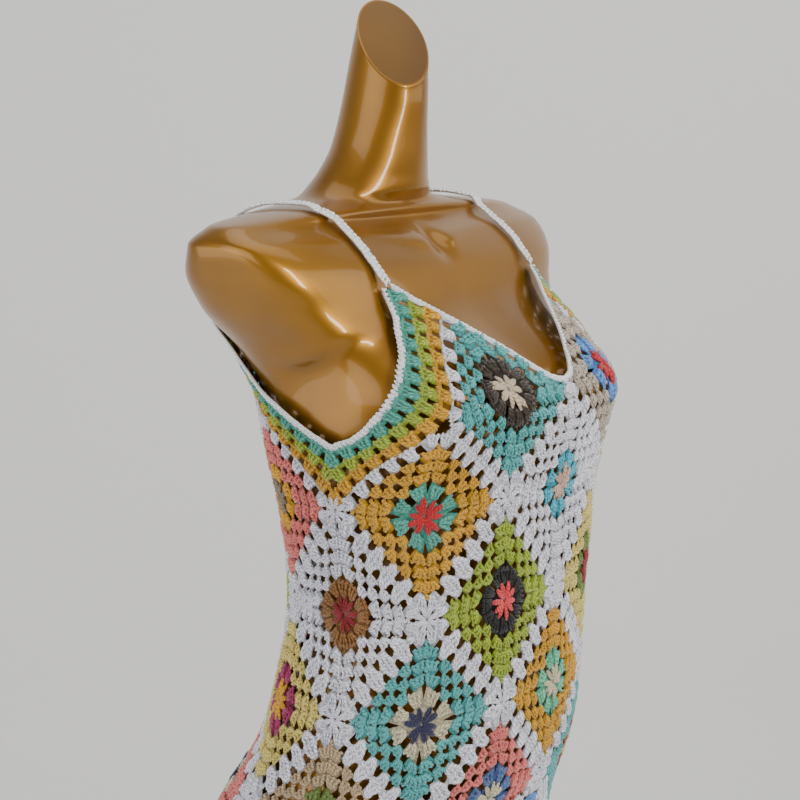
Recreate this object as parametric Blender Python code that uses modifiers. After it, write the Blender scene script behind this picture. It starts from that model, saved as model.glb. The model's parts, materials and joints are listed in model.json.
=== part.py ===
"""A crochet slip dress of granny squares set on point, worn by a limbless dress form on a pole and a round foot plate.

Metres, +Z up. The form faces -Y, its own right side is at -X, and the foot plate's underside is at z = 0.

The fabric is laid out in columns and rows. Column 0 is the right side line, 3 the centre front, 6 the left side
line and 9 the centre back. A row is half a square high, and rows count downwards from the level of the bust. A
square stands on its point at every place where column + row is even.
"""

import math

import bmesh
import bpy
import numpy as np
from mathutils import Vector
from mathutils.bvhtree import BVHTree

COLLECTION = "crochet dress on a dress form"

# Lattice of the fabric
COLUMNS = 12
FRONT_COLUMN = 3
BACK_COLUMN = 9
HALF_PITCH = 0.0801  # height of one row: half the diagonal of a square on its point
ROW_ZERO_HEIGHT = 1.214
LAST_ROW = 8  # row of the lowest squares' centres; their lower corners are the points of the hem
CELLS = 5  # a square is this many cells wide
CUP_ROWS = 6  # rows of cells from the neckline down to the lower side of its square
STRIPE_CELLS = 2  # across the three striped rows between the armhole and the squares
SLANT = 0.65  # above row zero the cloth lies on the sloping chest, so that a row gains less height
FRONT_LIFT = 0.008  # the bust takes up length, so the rows ride higher at the front
LIFT_REACH = 2.2  # columns from the centre front at which the lift has gone
LIFT_FADE = 1.2
NECK_SAG = 0.012  # the straps pull row zero up between the corners of its squares
SAG_ROWS = 0.6
CLOTH = 0.003
SEAM_GAP = 0.008  # in columns: 0.6 mm round the body
GAP_SHARE = 0.42  # a gap's size in its cell of 22 mm

# The neckline in one square's own coordinates: place across the square, and place up it
NECKLINE = (
    # across, up
    (0.12, -1.53),
    (0.30, -1.485),
    (0.50, -1.465),
    (0.70, -1.445),
    (0.90, -1.43),
    (1.10, -1.44),
    (1.28, -1.48),
    (1.43, -1.57),
)

# The armhole in the same coordinates; the squares begin at 0.5 across
ARMHOLE = (
    # up, across at the front, across at the back
    (-1.53, 0.12, 0.12),
    (-1.25, 0.25, 0.24),
    (-1.00, 0.26, 0.30),
    (-0.75, 0.235, 0.34),
    (-0.50, 0.225, 0.35),
    (-0.25, 0.27, 0.33),
    (0.00, 0.30, 0.30),
    (0.23, 0.23, 0.23),
)

# The skirt hangs a little turned towards the form's left
TURN = (
    # row, columns
    (0, 0.03),
    (2, 0.04),
    (3, 0.11),
    (4, 0.26),
    (5, 0.30),
    (9, 0.30),
)
DRAWN_IN = 0.15  # columns by which the first squares are drawn towards the centre at the bust
DRAWN_SPREAD = 0.6

# Where the middle of the body lies at each height: the chest is carried forward of the shoulders
POSTURE = (
    # height, y
    (0.46, 0.006),
    (0.72, 0.006),
    (0.84, 0.000),
    (0.94, -0.036),
    (1.04, -0.054),
    (1.12, -0.060),
    (1.20, -0.058),
    (1.24, -0.041),
    (1.28, -0.012),
    (1.31, -0.005),
    (1.335, 0.007),
    (1.352, 0.017),
    (1.393, 0.003),
    (1.433, -0.004),
    (1.466, -0.009),
    (1.510, -0.018),
)

# The form's sections: reach from the middle to each side, the front and the back, and how square the outline is
FORM = (
    # height, side, front, back, squareness
    (0.720, 0.140, 0.096, 0.104, 2.2),
    (0.760, 0.150, 0.104, 0.114, 2.2),
    (0.840, 0.155, 0.108, 0.118, 2.2),
    (0.900, 0.146, 0.100, 0.106, 2.2),
    (0.960, 0.126, 0.082, 0.098, 2.2),
    (1.020, 0.112, 0.070, 0.088, 2.2),
    (1.080, 0.118, 0.070, 0.092, 2.2),
    (1.140, 0.132, 0.078, 0.106, 2.3),
    (1.190, 0.142, 0.086, 0.118, 2.4),
    (1.220, 0.148, 0.088, 0.120, 2.5),
    (1.250, 0.158, 0.074, 0.118, 2.7),
    (1.280, 0.179, 0.065, 0.094, 3.5),
    (1.305, 0.193, 0.057, 0.082, 4.0),
    (1.325, 0.200, 0.045, 0.059, 4.0),
    (1.338, 0.190, 0.032, 0.047, 2.6),
    (1.345, 0.142, 0.040, 0.042, 2.2),
    (1.349, 0.094, 0.038, 0.046, 2.1),
    (1.353, 0.070, 0.041, 0.043, 2.0),
    (1.360, 0.058, 0.045, 0.041, 2.0),
    (1.372, 0.049, 0.042, 0.038, 2.0),
    (1.393, 0.039, 0.036, 0.038, 2.0),
    (1.433, 0.030, 0.032, 0.035, 2.0),
    (1.470, 0.027, 0.027, 0.029, 2.0),
)

# The dress where it hangs free of the form: reach of the middle of the cloth
DRESS = (
    # height, side, front, back, squareness
    (0.460, 0.170, 0.122, 0.130, 2.2),
    (0.620, 0.168, 0.119, 0.127, 2.2),
    (0.740, 0.165, 0.116, 0.124, 2.2),
    (0.840, 0.160, 0.117, 0.123, 2.2),
    (0.940, 0.145, 0.111, 0.104, 2.2),
    (1.040, 0.133, 0.101, 0.103, 2.25),
    (1.120, 0.140, 0.097, 0.113, 2.35),
    (1.170, 0.146, 0.106, 0.120, 2.5),
    (1.210, 0.150, 0.113, 0.122, 2.6),
    (1.243, 0.150, 0.102, 0.115, 2.5),
    (1.266, 0.148, 0.0965, 0.105, 2.5),
    (1.295, 0.135, 0.086, 0.085, 2.4),
    (1.340, 0.100, 0.045, 0.040, 2.2),
)
CLOTH_CLEARANCE = 0.0048  # from the form to the middle of the cloth
BLEND = 0.004  # how softly the hanging cloth comes onto the form

# Bust of the form
BUST_HEIGHT = 1.203
BUST_ANGLE = math.radians(36)  # from the centre front
BUST_SPREAD = math.radians(21)
BUST_TALL = 0.040
BUST_DEPTH = 0.024

# Collarbones and the notch between them
COLLAR_HEIGHT = 1.319
COLLAR_RISE = 0.16
COLLAR_SPREAD = 0.006
COLLAR_DEPTH = 0.004
COLLAR_INNER = 0.016
COLLAR_OUTER = 0.105
NOTCH_DEPTH = 0.006
NOTCH_SIZE = 0.011

# The neck ends in a slanting cut, high at the back and at the left
CUT_START = 1.395
CUT_END = 1.470
CUT_RISE_BACK = 1.0
CUT_RISE_LEFT = 0.68

# Skirt folds
FOLDS = 8
FOLD_DEPTH = 0.006
FOLD_START = 0.80
FOLD_END = 0.50

# Edgings and straps
EDGE_WIDTH = 0.0055
EDGE_THICK = 0.0034
EDGE_GAP = 0.0008
STRAP_WIDTH = 0.008
STRAP_THICK = 0.0032
STRAP_CLEARANCE = 0.0015
TAUT_STEPS = 120
STRAP_TOP_X = 0.099  # where the strap crosses the top of the shoulder
STRAP_STEPS = 30
STRAP_START = 0.035  # share of the way between the corners at which it starts, clear of the edgings

# Stand
PLATE_RADIUS = 0.190
PLATE_THICK = 0.008
PLATE_BEVEL = 0.002
POLE_RADIUS = 0.0125
HUB_RADIUS = 0.030
HUB_HEIGHT = 0.028
COLLAR_RADIUS = 0.045
COLLAR_THICK = 0.010
FIT_GAP = 0.0003

# Mesh
FORM_SIDES = 40
SIDE_CROWDING = 0.18  # brings more of the form's edges to its shoulder ends
FORM_RINGS = (
    # from, to, rings
    (0.720, 1.140, 10),
    (1.140, 1.290, 9),
    (1.290, 1.360, 11),
    (1.360, 1.470, 7),
)
TABLE_HEIGHTS = np.linspace(0.42, 1.34, 231)
TABLE_PER_COLUMN = 24
RING_SAMPLES = 720

CREAM_WHITE = (0.62, 0.61, 0.64, 1.0)
GOLD = (0.55, 0.31, 0.06, 1.0)
STEEL = (0.42, 0.42, 0.43, 1.0)


def smooth_through(rows, column, at):
    """A column of a table as a smooth curve over its first column, with no overshoot."""
    table = np.array(rows, float)
    x, y = table[:, 0], table[:, column]
    step = np.diff(x)
    slope = np.diff(y) / step
    tangent = np.zeros(len(x))
    tangent[0], tangent[-1] = slope[0], slope[-1]
    same_way = slope[:-1] * slope[1:] > 0
    before, after = 2 * step[1:] + step[:-1], step[1:] + 2 * step[:-1]
    safe = np.where(same_way, slope[:-1] * slope[1:], 1.0)
    mean = (before + after) * safe / (before * slope[1:] + after * slope[:-1] + np.where(same_way, 0.0, 1e9))
    tangent[1:-1] = np.where(same_way, mean, 0.0)
    at = np.clip(at, x[0], x[-1])
    i = np.clip(np.searchsorted(x, at, side="right") - 1, 0, len(step) - 1)
    t = (at - x[i]) / step[i]
    rise = t * t * (3 - 2 * t)
    lead = t * (1 - t) ** 2 * tangent[i] - t * t * (1 - t) * tangent[i + 1]
    return y[i] + rise * (y[i + 1] - y[i]) + step[i] * lead


def bell(distance, spread):
    return np.exp(-((distance / spread) ** 2))


def reach(rows, height, angle):
    """Distance from the middle to a section's outline. The angle runs from the centre front to the left side."""
    side, front, back, power = (smooth_through(rows, k, height) for k in (1, 2, 3, 4))
    deep = np.where(np.cos(angle) > 0, front, back)
    across = (np.abs(np.sin(angle)) / side) ** power
    along = (np.abs(np.cos(angle)) / deep) ** power
    return (across + along) ** (-1 / power)


def form_reach(height, angle):
    """The form's outline, with its bust and collarbones."""
    out = reach(FORM, height, angle)
    turn = np.abs((angle + math.pi) % (2 * math.pi) - math.pi)
    bust = bell(turn - BUST_ANGLE, BUST_SPREAD) + bell(turn + BUST_ANGLE, BUST_SPREAD)
    out = out + BUST_DEPTH * bust * bell(height - BUST_HEIGHT, BUST_TALL)
    x = out * np.sin(turn)
    in_front = np.cos(angle) > 0
    along = bell(np.clip(x - COLLAR_OUTER, 0, None), 0.02) * bell(np.clip(COLLAR_INNER - x, 0, None), 0.006)
    ridge = COLLAR_DEPTH * along * bell(height - COLLAR_HEIGHT - COLLAR_RISE * x, COLLAR_SPREAD)
    notch = NOTCH_DEPTH * bell(x, NOTCH_SIZE) * bell(height - COLLAR_HEIGHT, NOTCH_SIZE)
    return out + np.where(in_front, ridge - notch, 0.0)


def dress_reach(height, angle):
    """The cloth hangs free, or lies on the form where the form reaches further."""
    free = reach(DRESS, height, angle)
    fall = np.clip((FOLD_START - height) / (FOLD_START - FOLD_END), 0, 1)
    uneven = np.cos(FOLDS * angle + 0.9 * np.sin(2 * angle) + 0.5)
    free = free + FOLD_DEPTH * fall * uneven
    resting = form_reach(height, angle) + CLOTH_CLEARANCE
    return (free + resting + np.sqrt((free - resting) ** 2 + BLEND**2)) / 2


def ring_points(reach_at, height, angle):
    out = reach_at(height, angle)
    middle = smooth_through(POSTURE, 1, height)
    return out * np.sin(angle), middle - out * np.cos(angle)


def cloth_table():
    """The middle of the cloth at each height of the table, at equal steps round each ring."""
    turn = np.linspace(0, 2 * math.pi, RING_SAMPLES + 1)
    share = np.arange(COLUMNS * TABLE_PER_COLUMN) / (COLUMNS * TABLE_PER_COLUMN)
    rings = []
    for height in TABLE_HEIGHTS:
        x, y = ring_points(dress_reach, height, turn)
        length = np.concatenate([[0], np.cumsum(np.hypot(np.diff(x), np.diff(y)))])
        length /= length[-1]
        rings.append(np.stack([np.interp(share, length, x), np.interp(share, length, y)], axis=-1))
    return np.array(rings)


CLOTH_TABLE = cloth_table()


def on_ring(column, height):
    """The middle of the cloth at a column, at a height."""
    place = ((column - FRONT_COLUMN) % COLUMNS) * TABLE_PER_COLUMN
    count = COLUMNS * TABLE_PER_COLUMN
    c0 = int(place) % count
    c1 = (c0 + 1) % count
    level = (height - TABLE_HEIGHTS[0]) / (TABLE_HEIGHTS[1] - TABLE_HEIGHTS[0])
    r0 = min(max(int(level), 0), len(TABLE_HEIGHTS) - 2)
    s, t = place - int(place), level - r0
    low = CLOTH_TABLE[r0, c0] * (1 - s) + CLOTH_TABLE[r0, c1] * s
    high = CLOTH_TABLE[r0 + 1, c0] * (1 - s) + CLOTH_TABLE[r0 + 1, c1] * s
    x, y = low * (1 - t) + high * t
    return Vector((x, y, height))


def from_centre(column):
    """Columns from the centre front or the centre back, and whether it is the front."""
    front = abs((column - FRONT_COLUMN + COLUMNS / 2) % COLUMNS - COLUMNS / 2)
    return (front, True) if front <= COLUMNS / 4 else (COLUMNS / 2 - front, False)


def row_height(column, row):
    """Height of a point of the fabric."""
    off, is_front = from_centre(column)
    fall = HALF_PITCH * (row if row > 0 else SLANT * row)
    ease = min(max((LIFT_REACH - off) / LIFT_FADE, 0), 1)
    lift = FRONT_LIFT * ease * ease * (3 - 2 * ease) if is_front else 0.0
    sag = NECK_SAG * math.cos(math.pi * off / 2) ** 2 * math.exp(-((row / SAG_ROWS) ** 2))
    return ROW_ZERO_HEIGHT - fall + lift - sag


def drawn_in(column, row):
    """Columns by which a point is moved towards the centre line where the first squares meet the stripes."""
    moved = 0.0
    for way in (1, -1):
        for meeting in (FRONT_COLUMN, BACK_COLUMN):
            away = (column - meeting + 2 * way + COLUMNS / 2) % COLUMNS - COLUMNS / 2
            moved += way * DRAWN_IN * math.exp(-((away**2 + row**2) / DRAWN_SPREAD**2))
    return moved


def fabric(column, row):
    turned = column + float(smooth_through(TURN, 1, np.array(max(row, 0.0))))
    return on_ring(turned + drawn_in(column, row), row_height(column, row))


def fabric_normal(column, row):
    step = 0.02
    across = fabric(column + step, row) - fabric(column - step, row)
    down = fabric(column, row + step) - fabric(column, row - step)
    return down.cross(across).normalized()


def neckline_up(across):
    return float(smooth_through(NECKLINE, 1, np.array(across)))


def stripe_point(share, up, is_front):
    """A place across and up the striped rows: share 0 is the armhole and 1 is where the squares begin."""
    edge = float(smooth_through(ARMHOLE, 1 if is_front else 2, np.array(up)))
    return edge + (0.5 - edge) * share, up


def lattice(across, up):
    """Column and row of a point given by its place across and up the right front half."""
    return across - up, across + up


def mirrored(cell, centre):
    """The same cell on the other side of a column."""
    return [(2 * centre - column, row) for column, row in reversed(cell)]


def square_cells(column, row):
    """The cells of one whole square, each with whether a gap is cut in it."""
    edges = [(k / CELLS) - 0.5 for k in range(CELLS + 1)]
    across0, up0 = (column + row) / 2, (row - column) / 2
    cells = []
    for i in range(CELLS):
        for j in range(CELLS):
            corners = [(i, j), (i, j + 1), (i + 1, j + 1), (i + 1, j)]
            cell = [lattice(across0 + edges[a], up0 + edges[b]) for a, b in corners]
            corner_gap = i in (0, CELLS - 1) and j in (0, CELLS - 1)
            side_gap = i == CELLS // 2 and j == CELLS - 1
            cells.append((cell, corner_gap or side_gap))
    return cells


def patch_cells(lines, gaps=()):
    """Cells between neighbouring lines of points, each given by its place across and up."""
    cells = []
    for i in range(len(lines) - 1):
        for j in range(len(lines[0]) - 1):
            corners = [lines[i][j], lines[i][j + 1], lines[i + 1][j + 1], lines[i + 1][j]]
            cells.append(([lattice(*corner) for corner in corners], (i, j) in gaps))
    return cells


def line_down(across, top, bottom, count):
    return [(across, top + (bottom - top) * k / count) for k in range(count + 1)]


def cup_cells():
    """The square under the neckline, whose upper side the neckline cuts."""
    edges = [0.5 + k / CELLS for k in range(CELLS)]
    lines = [line_down(across, neckline_up(across), -0.5, CUP_ROWS) for across in edges]
    lines.append([NECKLINE[-1]] + line_down(1.5, -1.5, -0.5, CUP_ROWS - 1))
    gaps = ((0, CUP_ROWS - 1), (2, CUP_ROWS - 1), (CELLS - 1, CUP_ROWS - 1), (CELLS - 1, 1))
    return patch_cells(lines, gaps)


def stripe_line(share, is_front):
    """Points down a striped row: from the neckline to the middle of the armhole, and on to the side line."""
    top = neckline_up(NECKLINE[0][0] + (0.5 - NECKLINE[0][0]) * share)
    corner = stripe_point(share, ARMHOLE[-1][0], is_front)[0]
    ups = [up for _, up in line_down(0, top, -0.5, CUP_ROWS)]
    ups += [up for _, up in line_down(0, -0.5, corner, CELLS)[1:]]
    return [stripe_point(share, up, is_front) for up in ups]


def half_top(is_front):
    """The cells of the right half above the whole squares."""
    stripes = [stripe_line(k / STRIPE_CELLS, is_front) for k in range(STRIPE_CELLS + 1)]
    cells = cup_cells() + patch_cells(stripes)
    if not is_front:
        cells = [(mirrored(cell, 0), gap) for cell, gap in cells]
    return cells


def panel_cells(is_front):
    """All cells of the front or of the back."""
    centre = FRONT_COLUMN if is_front else BACK_COLUMN - COLUMNS
    near = half_top(is_front)
    cells = near + [(mirrored(cell, centre), gap) for cell, gap in near]
    reach_out = 3 if is_front else 2
    for row in range(1, LAST_ROW + 1):
        for column in range(centre - reach_out, centre + reach_out + 1):
            if (column + row) % 2 == 0:
                cells += square_cells(column, row)
    return cells


def on_side_seam(column, row):
    """Whether a point of the back panel lies on the zigzag seam that it shares with the front."""
    seam = COLUMNS / 4
    side = abs(column - BACK_COLUMN + COLUMNS)
    if row > 1:
        into = (row - 1) % 2
        seam -= min(into, 2 - into)
    return abs(side - seam) < 1e-6


def faces_of(cell, gap):
    """The faces of a cell, as lattice points: one, or a ring of four round a gap."""
    if not gap:
        return [cell]
    middle = [sum(corner[k] for corner in cell) / len(cell) for k in (0, 1)]
    inner = [tuple(middle[k] + GAP_SHARE * (corner[k] - middle[k]) for k in (0, 1)) for corner in cell]
    ring = []
    for k, corner in enumerate(cell):
        n = (k + 1) % len(cell)
        ring.append([corner, cell[n], inner[n], inner[k]])
    return ring


def panel(name, is_front, material):
    """A wall of cloth through the cells' corners, with the gaps cut right through."""
    shell = bmesh.new()
    points = {}
    for cell, gap in panel_cells(is_front):
        for face in faces_of(cell, gap):
            corners = []
            for column, row in face:
                key = (round(column, 5), round(row, 5))
                if key not in points:
                    shift = 0.0
                    if not is_front and on_side_seam(column, row):
                        shift = SEAM_GAP if column < BACK_COLUMN - COLUMNS else -SEAM_GAP
                    points[key] = shell.verts.new(fabric(column + shift, row))
                corners.append(points[key])
            shell.faces.new(corners)
    bmesh.ops.recalc_face_normals(shell, faces=shell.faces)
    mesh = bpy.data.meshes.new(name)
    shell.to_mesh(mesh)
    shell.free()
    made = add_object(name, mesh, material)
    wall = made.modifiers.new("cloth", "SOLIDIFY")
    wall.thickness = CLOTH
    wall.offset = 0
    wall.use_even_offset = True
    return made


def lofted(name, rings, material):
    """A closed solid through equal rings of points, with flat ends."""
    count = len(rings[0])
    vertices = [tuple(point) for ring in rings for point in ring]
    faces = []
    for r in range(len(rings) - 1):
        for k in range(count):
            n = (k + 1) % count
            faces.append((r * count + k, r * count + n, (r + 1) * count + n, (r + 1) * count + k))
    faces.append(tuple(reversed(range(count))))
    faces.append(tuple(range((len(rings) - 1) * count, len(rings) * count)))
    mesh = bpy.data.meshes.new(name)
    mesh.from_pydata(vertices, [], faces)
    shell = bmesh.new()
    shell.from_mesh(mesh)
    bmesh.ops.recalc_face_normals(shell, faces=shell.faces)
    shell.to_mesh(mesh)
    shell.free()
    return add_object(name, mesh, material)


def add_object(name, mesh, material):
    made = bpy.data.objects.new(name, mesh)
    bpy.data.collections[COLLECTION].objects.link(made)
    mesh.materials.clear()
    mesh.materials.append(material)
    return made


def add_material(name, colour, roughness, metallic):
    made = bpy.data.materials.new(name)
    made.use_nodes = True
    shader = made.node_tree.nodes["Principled BSDF"]
    shader.inputs["Base Color"].default_value = colour
    shader.inputs["Roughness"].default_value = roughness
    shader.inputs["Metallic"].default_value = metallic
    return made


def form_rings():
    """The form's rings from its flat lower end to the slanting cut of the neck."""
    heights = [FORM_RINGS[0][0]]
    for start, end, count in FORM_RINGS:
        heights += list(np.linspace(start, end, count + 1)[1:])
    angle = np.arange(FORM_SIDES) * 2 * math.pi / FORM_SIDES
    angle = angle + SIDE_CROWDING * np.sin(2 * angle)
    rings = []
    for height in heights:
        x, y = ring_points(form_reach, height, angle)
        slant = min(max((height - CUT_START) / (CUT_END - CUT_START), 0), 1)
        middle = float(smooth_through(POSTURE, 1, height))
        z = height + slant * slant * (CUT_RISE_BACK * (y - middle) + CUT_RISE_LEFT * x)
        rings.append(np.stack([x, y, z], axis=-1))
    return rings


def armhole_route(side):
    """Lattice points along an armhole, from the front to the back."""
    front = [lattice(*place) for place in stripe_line(0, True)]
    back = [lattice(*place) for place in stripe_line(0, False)[:-1]]
    route = front + [(-column, row) for column, row in reversed(back)]
    return [(column, row) if side < 0 else (2 * FRONT_COLUMN - column, row) for column, row in route]


def neck_route(is_front):
    """Lattice points along a whole neckline, from one strap to the other."""
    half = [lattice(across, up) for across, up in NECKLINE]
    if not is_front:
        half = [(-column, row) for column, row in half]
    centre = FRONT_COLUMN if is_front else BACK_COLUMN - COLUMNS
    return half + [(2 * centre - column, row) for column, row in reversed(half[:-1])]


def moved_along(column, row, offset):
    """The lattice point that lies on the fabric at an offset in metres from a given one."""
    step = 0.02
    across = (fabric(column + step, row) - fabric(column - step, row)) / (2 * step)
    down = (fabric(column, row + step) - fabric(column, row - step)) / (2 * step)
    moves = np.linalg.lstsq(np.array([across, down]).T, np.array(offset), rcond=None)[0]
    return column + moves[0], row + moves[1]


def edging(name, route, inward, material):
    """A narrow band along the cloth's edge. inward is a lattice point beyond the middle of the route, on the cloth."""
    points = [fabric(column, row) for column, row in route]
    half = len(route) // 2
    across = (points[half + 1] - points[half - 1]).cross(fabric_normal(*route[half]))
    turned = 1 if across.dot(points[half] - fabric(*inward)) > 0 else -1
    rings = []
    for k, (column, row) in enumerate(route):
        normal = fabric_normal(column, row)
        ends = (max(k - 1, 0), min(k, len(points) - 2))
        sides = [(points[n + 1] - points[n]).cross(normal).normalized() * turned for n in ends]
        out = (sides[0] + sides[1]).normalized()
        out /= max(out.dot(sides[0]), 0.5)
        ring = []
        for distance, way in ((0, -1), (0, 1), (EDGE_WIDTH, 1), (EDGE_WIDTH, -1)):
            place = moved_along(column, row, out * (EDGE_GAP + distance))
            ring.append(fabric(*place) + fabric_normal(*place) * way * EDGE_THICK / 2)
        rings.append(ring)
    return lofted(name, rings, material)


def strap(name, side, form, material):
    """A flat band from the front corner over the shoulder to the back corner, lying on the form."""
    graph = bpy.context.evaluated_depsgraph_get()
    surface = BVHTree.FromObject(form, graph)
    corner = lattice(NECKLINE[0][0], NECKLINE[0][1])
    front = fabric(*corner)
    back = fabric(-corner[0], corner[1])
    pivot = Vector((-STRAP_TOP_X, float(smooth_through(POSTURE, 1, 1.30)), 1.285))
    start = math.atan2(front.z - pivot.z, front.y - pivot.y)
    end = math.atan2(back.z - pivot.z, back.y - pivot.y)
    start = start if start > 0 else start + 2 * math.pi
    centres = []
    for k in range(STRAP_STEPS + 1):
        t = STRAP_START + (1 - 2 * STRAP_START) * k / STRAP_STEPS
        turn = start + (end - start) * t
        x = front.x + (back.x - front.x) * t
        x += (-STRAP_TOP_X - x) * math.sin(math.pi * t) ** 2
        away = Vector((0, math.cos(turn), math.sin(turn)))
        source = Vector((x, pivot.y, pivot.z)) + away * 0.5
        hit, normal, _, _ = surface.ray_cast(source, -away)
        centres.append(hit + normal * CLOTH_CLEARANCE)
    return strap_band(name, drawn_taut(centres, surface), surface, side, material)


def drawn_taut(points, surface):
    """The points pulled straight along the strap wherever the form doesn't hold them out."""
    lift = STRAP_CLEARANCE + STRAP_THICK / 2
    for _ in range(TAUT_STEPS):
        for k in range(1, len(points) - 1):
            middle = (points[k - 1] + points[k + 1]) / 2
            moved = Vector((points[k].x, middle.y, middle.z))
            near, normal, _, _ = surface.find_nearest(moved)
            moved += normal * max(lift - (moved - near).dot(normal), 0)
            points[k] = moved
    return points


def strap_band(name, centres, surface, side, material):
    """A flat band whose broad sides face the form."""
    normals = [surface.find_nearest(centre)[1] for centre in centres]
    for _ in range(4):
        for k in range(1, len(centres) - 1):
            normals[k] = (normals[k - 1] + normals[k] * 2 + normals[k + 1]).normalized()
    rings = []
    for k, centre in enumerate(centres):
        along = centres[min(k + 1, len(centres) - 1)] - centres[max(k - 1, 0)]
        across = along.cross(normals[k]).normalized() * STRAP_WIDTH / 2
        thick = across.cross(along).normalized() * STRAP_THICK / 2
        ring = [centre - across - thick, centre - across + thick, centre + across + thick, centre + across - thick]
        rings.append([Vector((-side * p.x, p.y, p.z)) for p in ring])
    return lofted(name, rings, material)


def cylinder(name, radius, bottom, top, material, sides, bevel=0.0):
    bpy.ops.mesh.primitive_cylinder_add(
        vertices=sides, radius=radius, depth=top - bottom, location=(0, 0, (bottom + top) / 2)
    )
    made = bpy.context.object
    made.name = name
    made.data.name = name
    made.data.materials.append(material)
    for holder in list(made.users_collection):
        holder.objects.unlink(made)
    bpy.data.collections[COLLECTION].objects.link(made)
    if bevel:
        rounding = made.modifiers.new("rounding", "BEVEL")
        rounding.width = bevel
        rounding.segments = 2
        rounding.limit_method = "ANGLE"
    return made


def stand(material):
    """Foot plate, hub, pole and the collar that the form sits on."""
    form_bottom = FORM[0][0]
    cylinder("foot_plate", PLATE_RADIUS, 0, PLATE_THICK, material, 64, PLATE_BEVEL)
    hub_bottom = PLATE_THICK + FIT_GAP
    hub_top = hub_bottom + HUB_HEIGHT
    cylinder("pole_hub", HUB_RADIUS, hub_bottom, hub_top, material, 32, PLATE_BEVEL)
    collar_top = form_bottom - FIT_GAP
    collar_bottom = collar_top - COLLAR_THICK
    cylinder("form_collar", COLLAR_RADIUS, collar_bottom, collar_top, material, 32, PLATE_BEVEL)
    cylinder("pole", POLE_RADIUS, hub_top + FIT_GAP, collar_bottom - FIT_GAP, material, 24)


def main():
    for old in list(bpy.data.objects):
        bpy.data.objects.remove(old, do_unlink=True)
    bpy.context.scene.collection.children.link(bpy.data.collections.new(COLLECTION))
    yarn = add_material("cotton yarn", CREAM_WHITE, 0.75, 0.0)
    lacquer = add_material("gold lacquer", GOLD, 0.3, 0.75)
    steel = add_material("brushed steel", STEEL, 0.4, 1.0)
    form = lofted("dress_form", form_rings(), lacquer)
    stand(steel)
    panel("dress_front", True, yarn)
    panel("dress_back", False, yarn)
    for side, word in ((-1, "right"), (1, "left")):
        side_column = 0 if side < 0 else 6
        edging(f"armhole_edging_{word}", armhole_route(side), (side_column, 3.0), yarn)
        strap(f"strap_{word}", side, form, yarn)
    edging("neck_edging_front", neck_route(True), (FRONT_COLUMN, 2.0), yarn)
    edging("neck_edging_back", neck_route(False), (BACK_COLUMN - COLUMNS, 2.0), yarn)


main()
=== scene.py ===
"""A crochet slip dress of granny squares set on point, on a glossy gold dress form with a pole and a foot plate.

Metres, +Z up. The fabric is laid out in columns and rows, as in the part: column 0 is the right side line, 3 the
centre front, 6 the left side line and -3 the centre back. The chart is a flat drawing of the dress, in which one
unit is the side of a square: a place in it is given as across and up, and column = across - up, row = across + up.
"""

import json
import math

import bmesh
import bpy
import numpy as np
from mathutils import Matrix, Vector
from mathutils.bvhtree import BVHTree

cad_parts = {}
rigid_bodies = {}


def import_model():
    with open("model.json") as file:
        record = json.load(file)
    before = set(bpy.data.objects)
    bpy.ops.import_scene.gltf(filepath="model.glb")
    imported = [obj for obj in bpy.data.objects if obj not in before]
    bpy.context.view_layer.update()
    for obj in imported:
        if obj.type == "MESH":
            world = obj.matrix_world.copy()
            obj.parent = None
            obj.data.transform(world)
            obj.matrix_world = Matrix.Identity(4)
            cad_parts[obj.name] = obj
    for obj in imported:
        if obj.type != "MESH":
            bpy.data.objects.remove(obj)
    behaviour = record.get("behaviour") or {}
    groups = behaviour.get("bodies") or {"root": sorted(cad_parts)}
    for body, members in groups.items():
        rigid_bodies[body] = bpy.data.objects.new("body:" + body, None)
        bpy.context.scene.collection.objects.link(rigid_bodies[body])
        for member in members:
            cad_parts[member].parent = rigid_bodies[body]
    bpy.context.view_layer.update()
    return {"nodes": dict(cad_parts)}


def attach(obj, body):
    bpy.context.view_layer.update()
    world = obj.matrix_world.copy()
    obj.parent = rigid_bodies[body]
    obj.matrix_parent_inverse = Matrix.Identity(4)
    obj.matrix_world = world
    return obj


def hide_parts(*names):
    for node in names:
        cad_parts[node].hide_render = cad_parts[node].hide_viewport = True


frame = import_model()

# Lattice of the fabric
COLUMNS = 12
FRONT_COLUMN = 3
BACK_COLUMN = 9
HALF_PITCH = 0.0801  # height of one row: half the diagonal of a square on its point
ROW_ZERO_HEIGHT = 1.214
LAST_ROW = 8  # row of the lowest squares' centres; their lower corners are the points of the hem
SLANT = 0.65  # above row zero the cloth lies on the sloping chest, so that a row gains less height
FRONT_LIFT = 0.008  # the bust takes up length, so the rows ride higher at the front
LIFT_REACH = 2.2  # columns from the centre front at which the lift has gone
LIFT_FADE = 1.2
NECK_SAG = 0.012  # the straps pull row zero up between the corners of its squares
SAG_ROWS = 0.6

# The neckline in one square's own coordinates: place across the square, and place up it
NECKLINE = (
    (0.12, -1.53), (0.30, -1.485), (0.50, -1.465), (0.70, -1.445),
    (0.90, -1.43), (1.10, -1.44), (1.28, -1.48), (1.43, -1.57),
)

# The armhole in the same coordinates; the squares begin at 0.5 across
ARMHOLE = (
    # up, across at the front, across at the back
    (-1.53, 0.12, 0.12),
    (-1.25, 0.25, 0.24),
    (-1.00, 0.26, 0.30),
    (-0.75, 0.235, 0.34),
    (-0.50, 0.225, 0.35),
    (-0.25, 0.27, 0.33),
    (0.00, 0.30, 0.30),
    (0.23, 0.23, 0.23),
)

# The skirt hangs a little turned towards the form's left: row, columns
TURN = ((0, 0.03), (2, 0.04), (3, 0.11), (4, 0.26), (5, 0.30), (9, 0.30))
DRAWN_IN = 0.15  # columns by which the first squares are drawn towards the centre at the bust
DRAWN_SPREAD = 0.6

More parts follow.
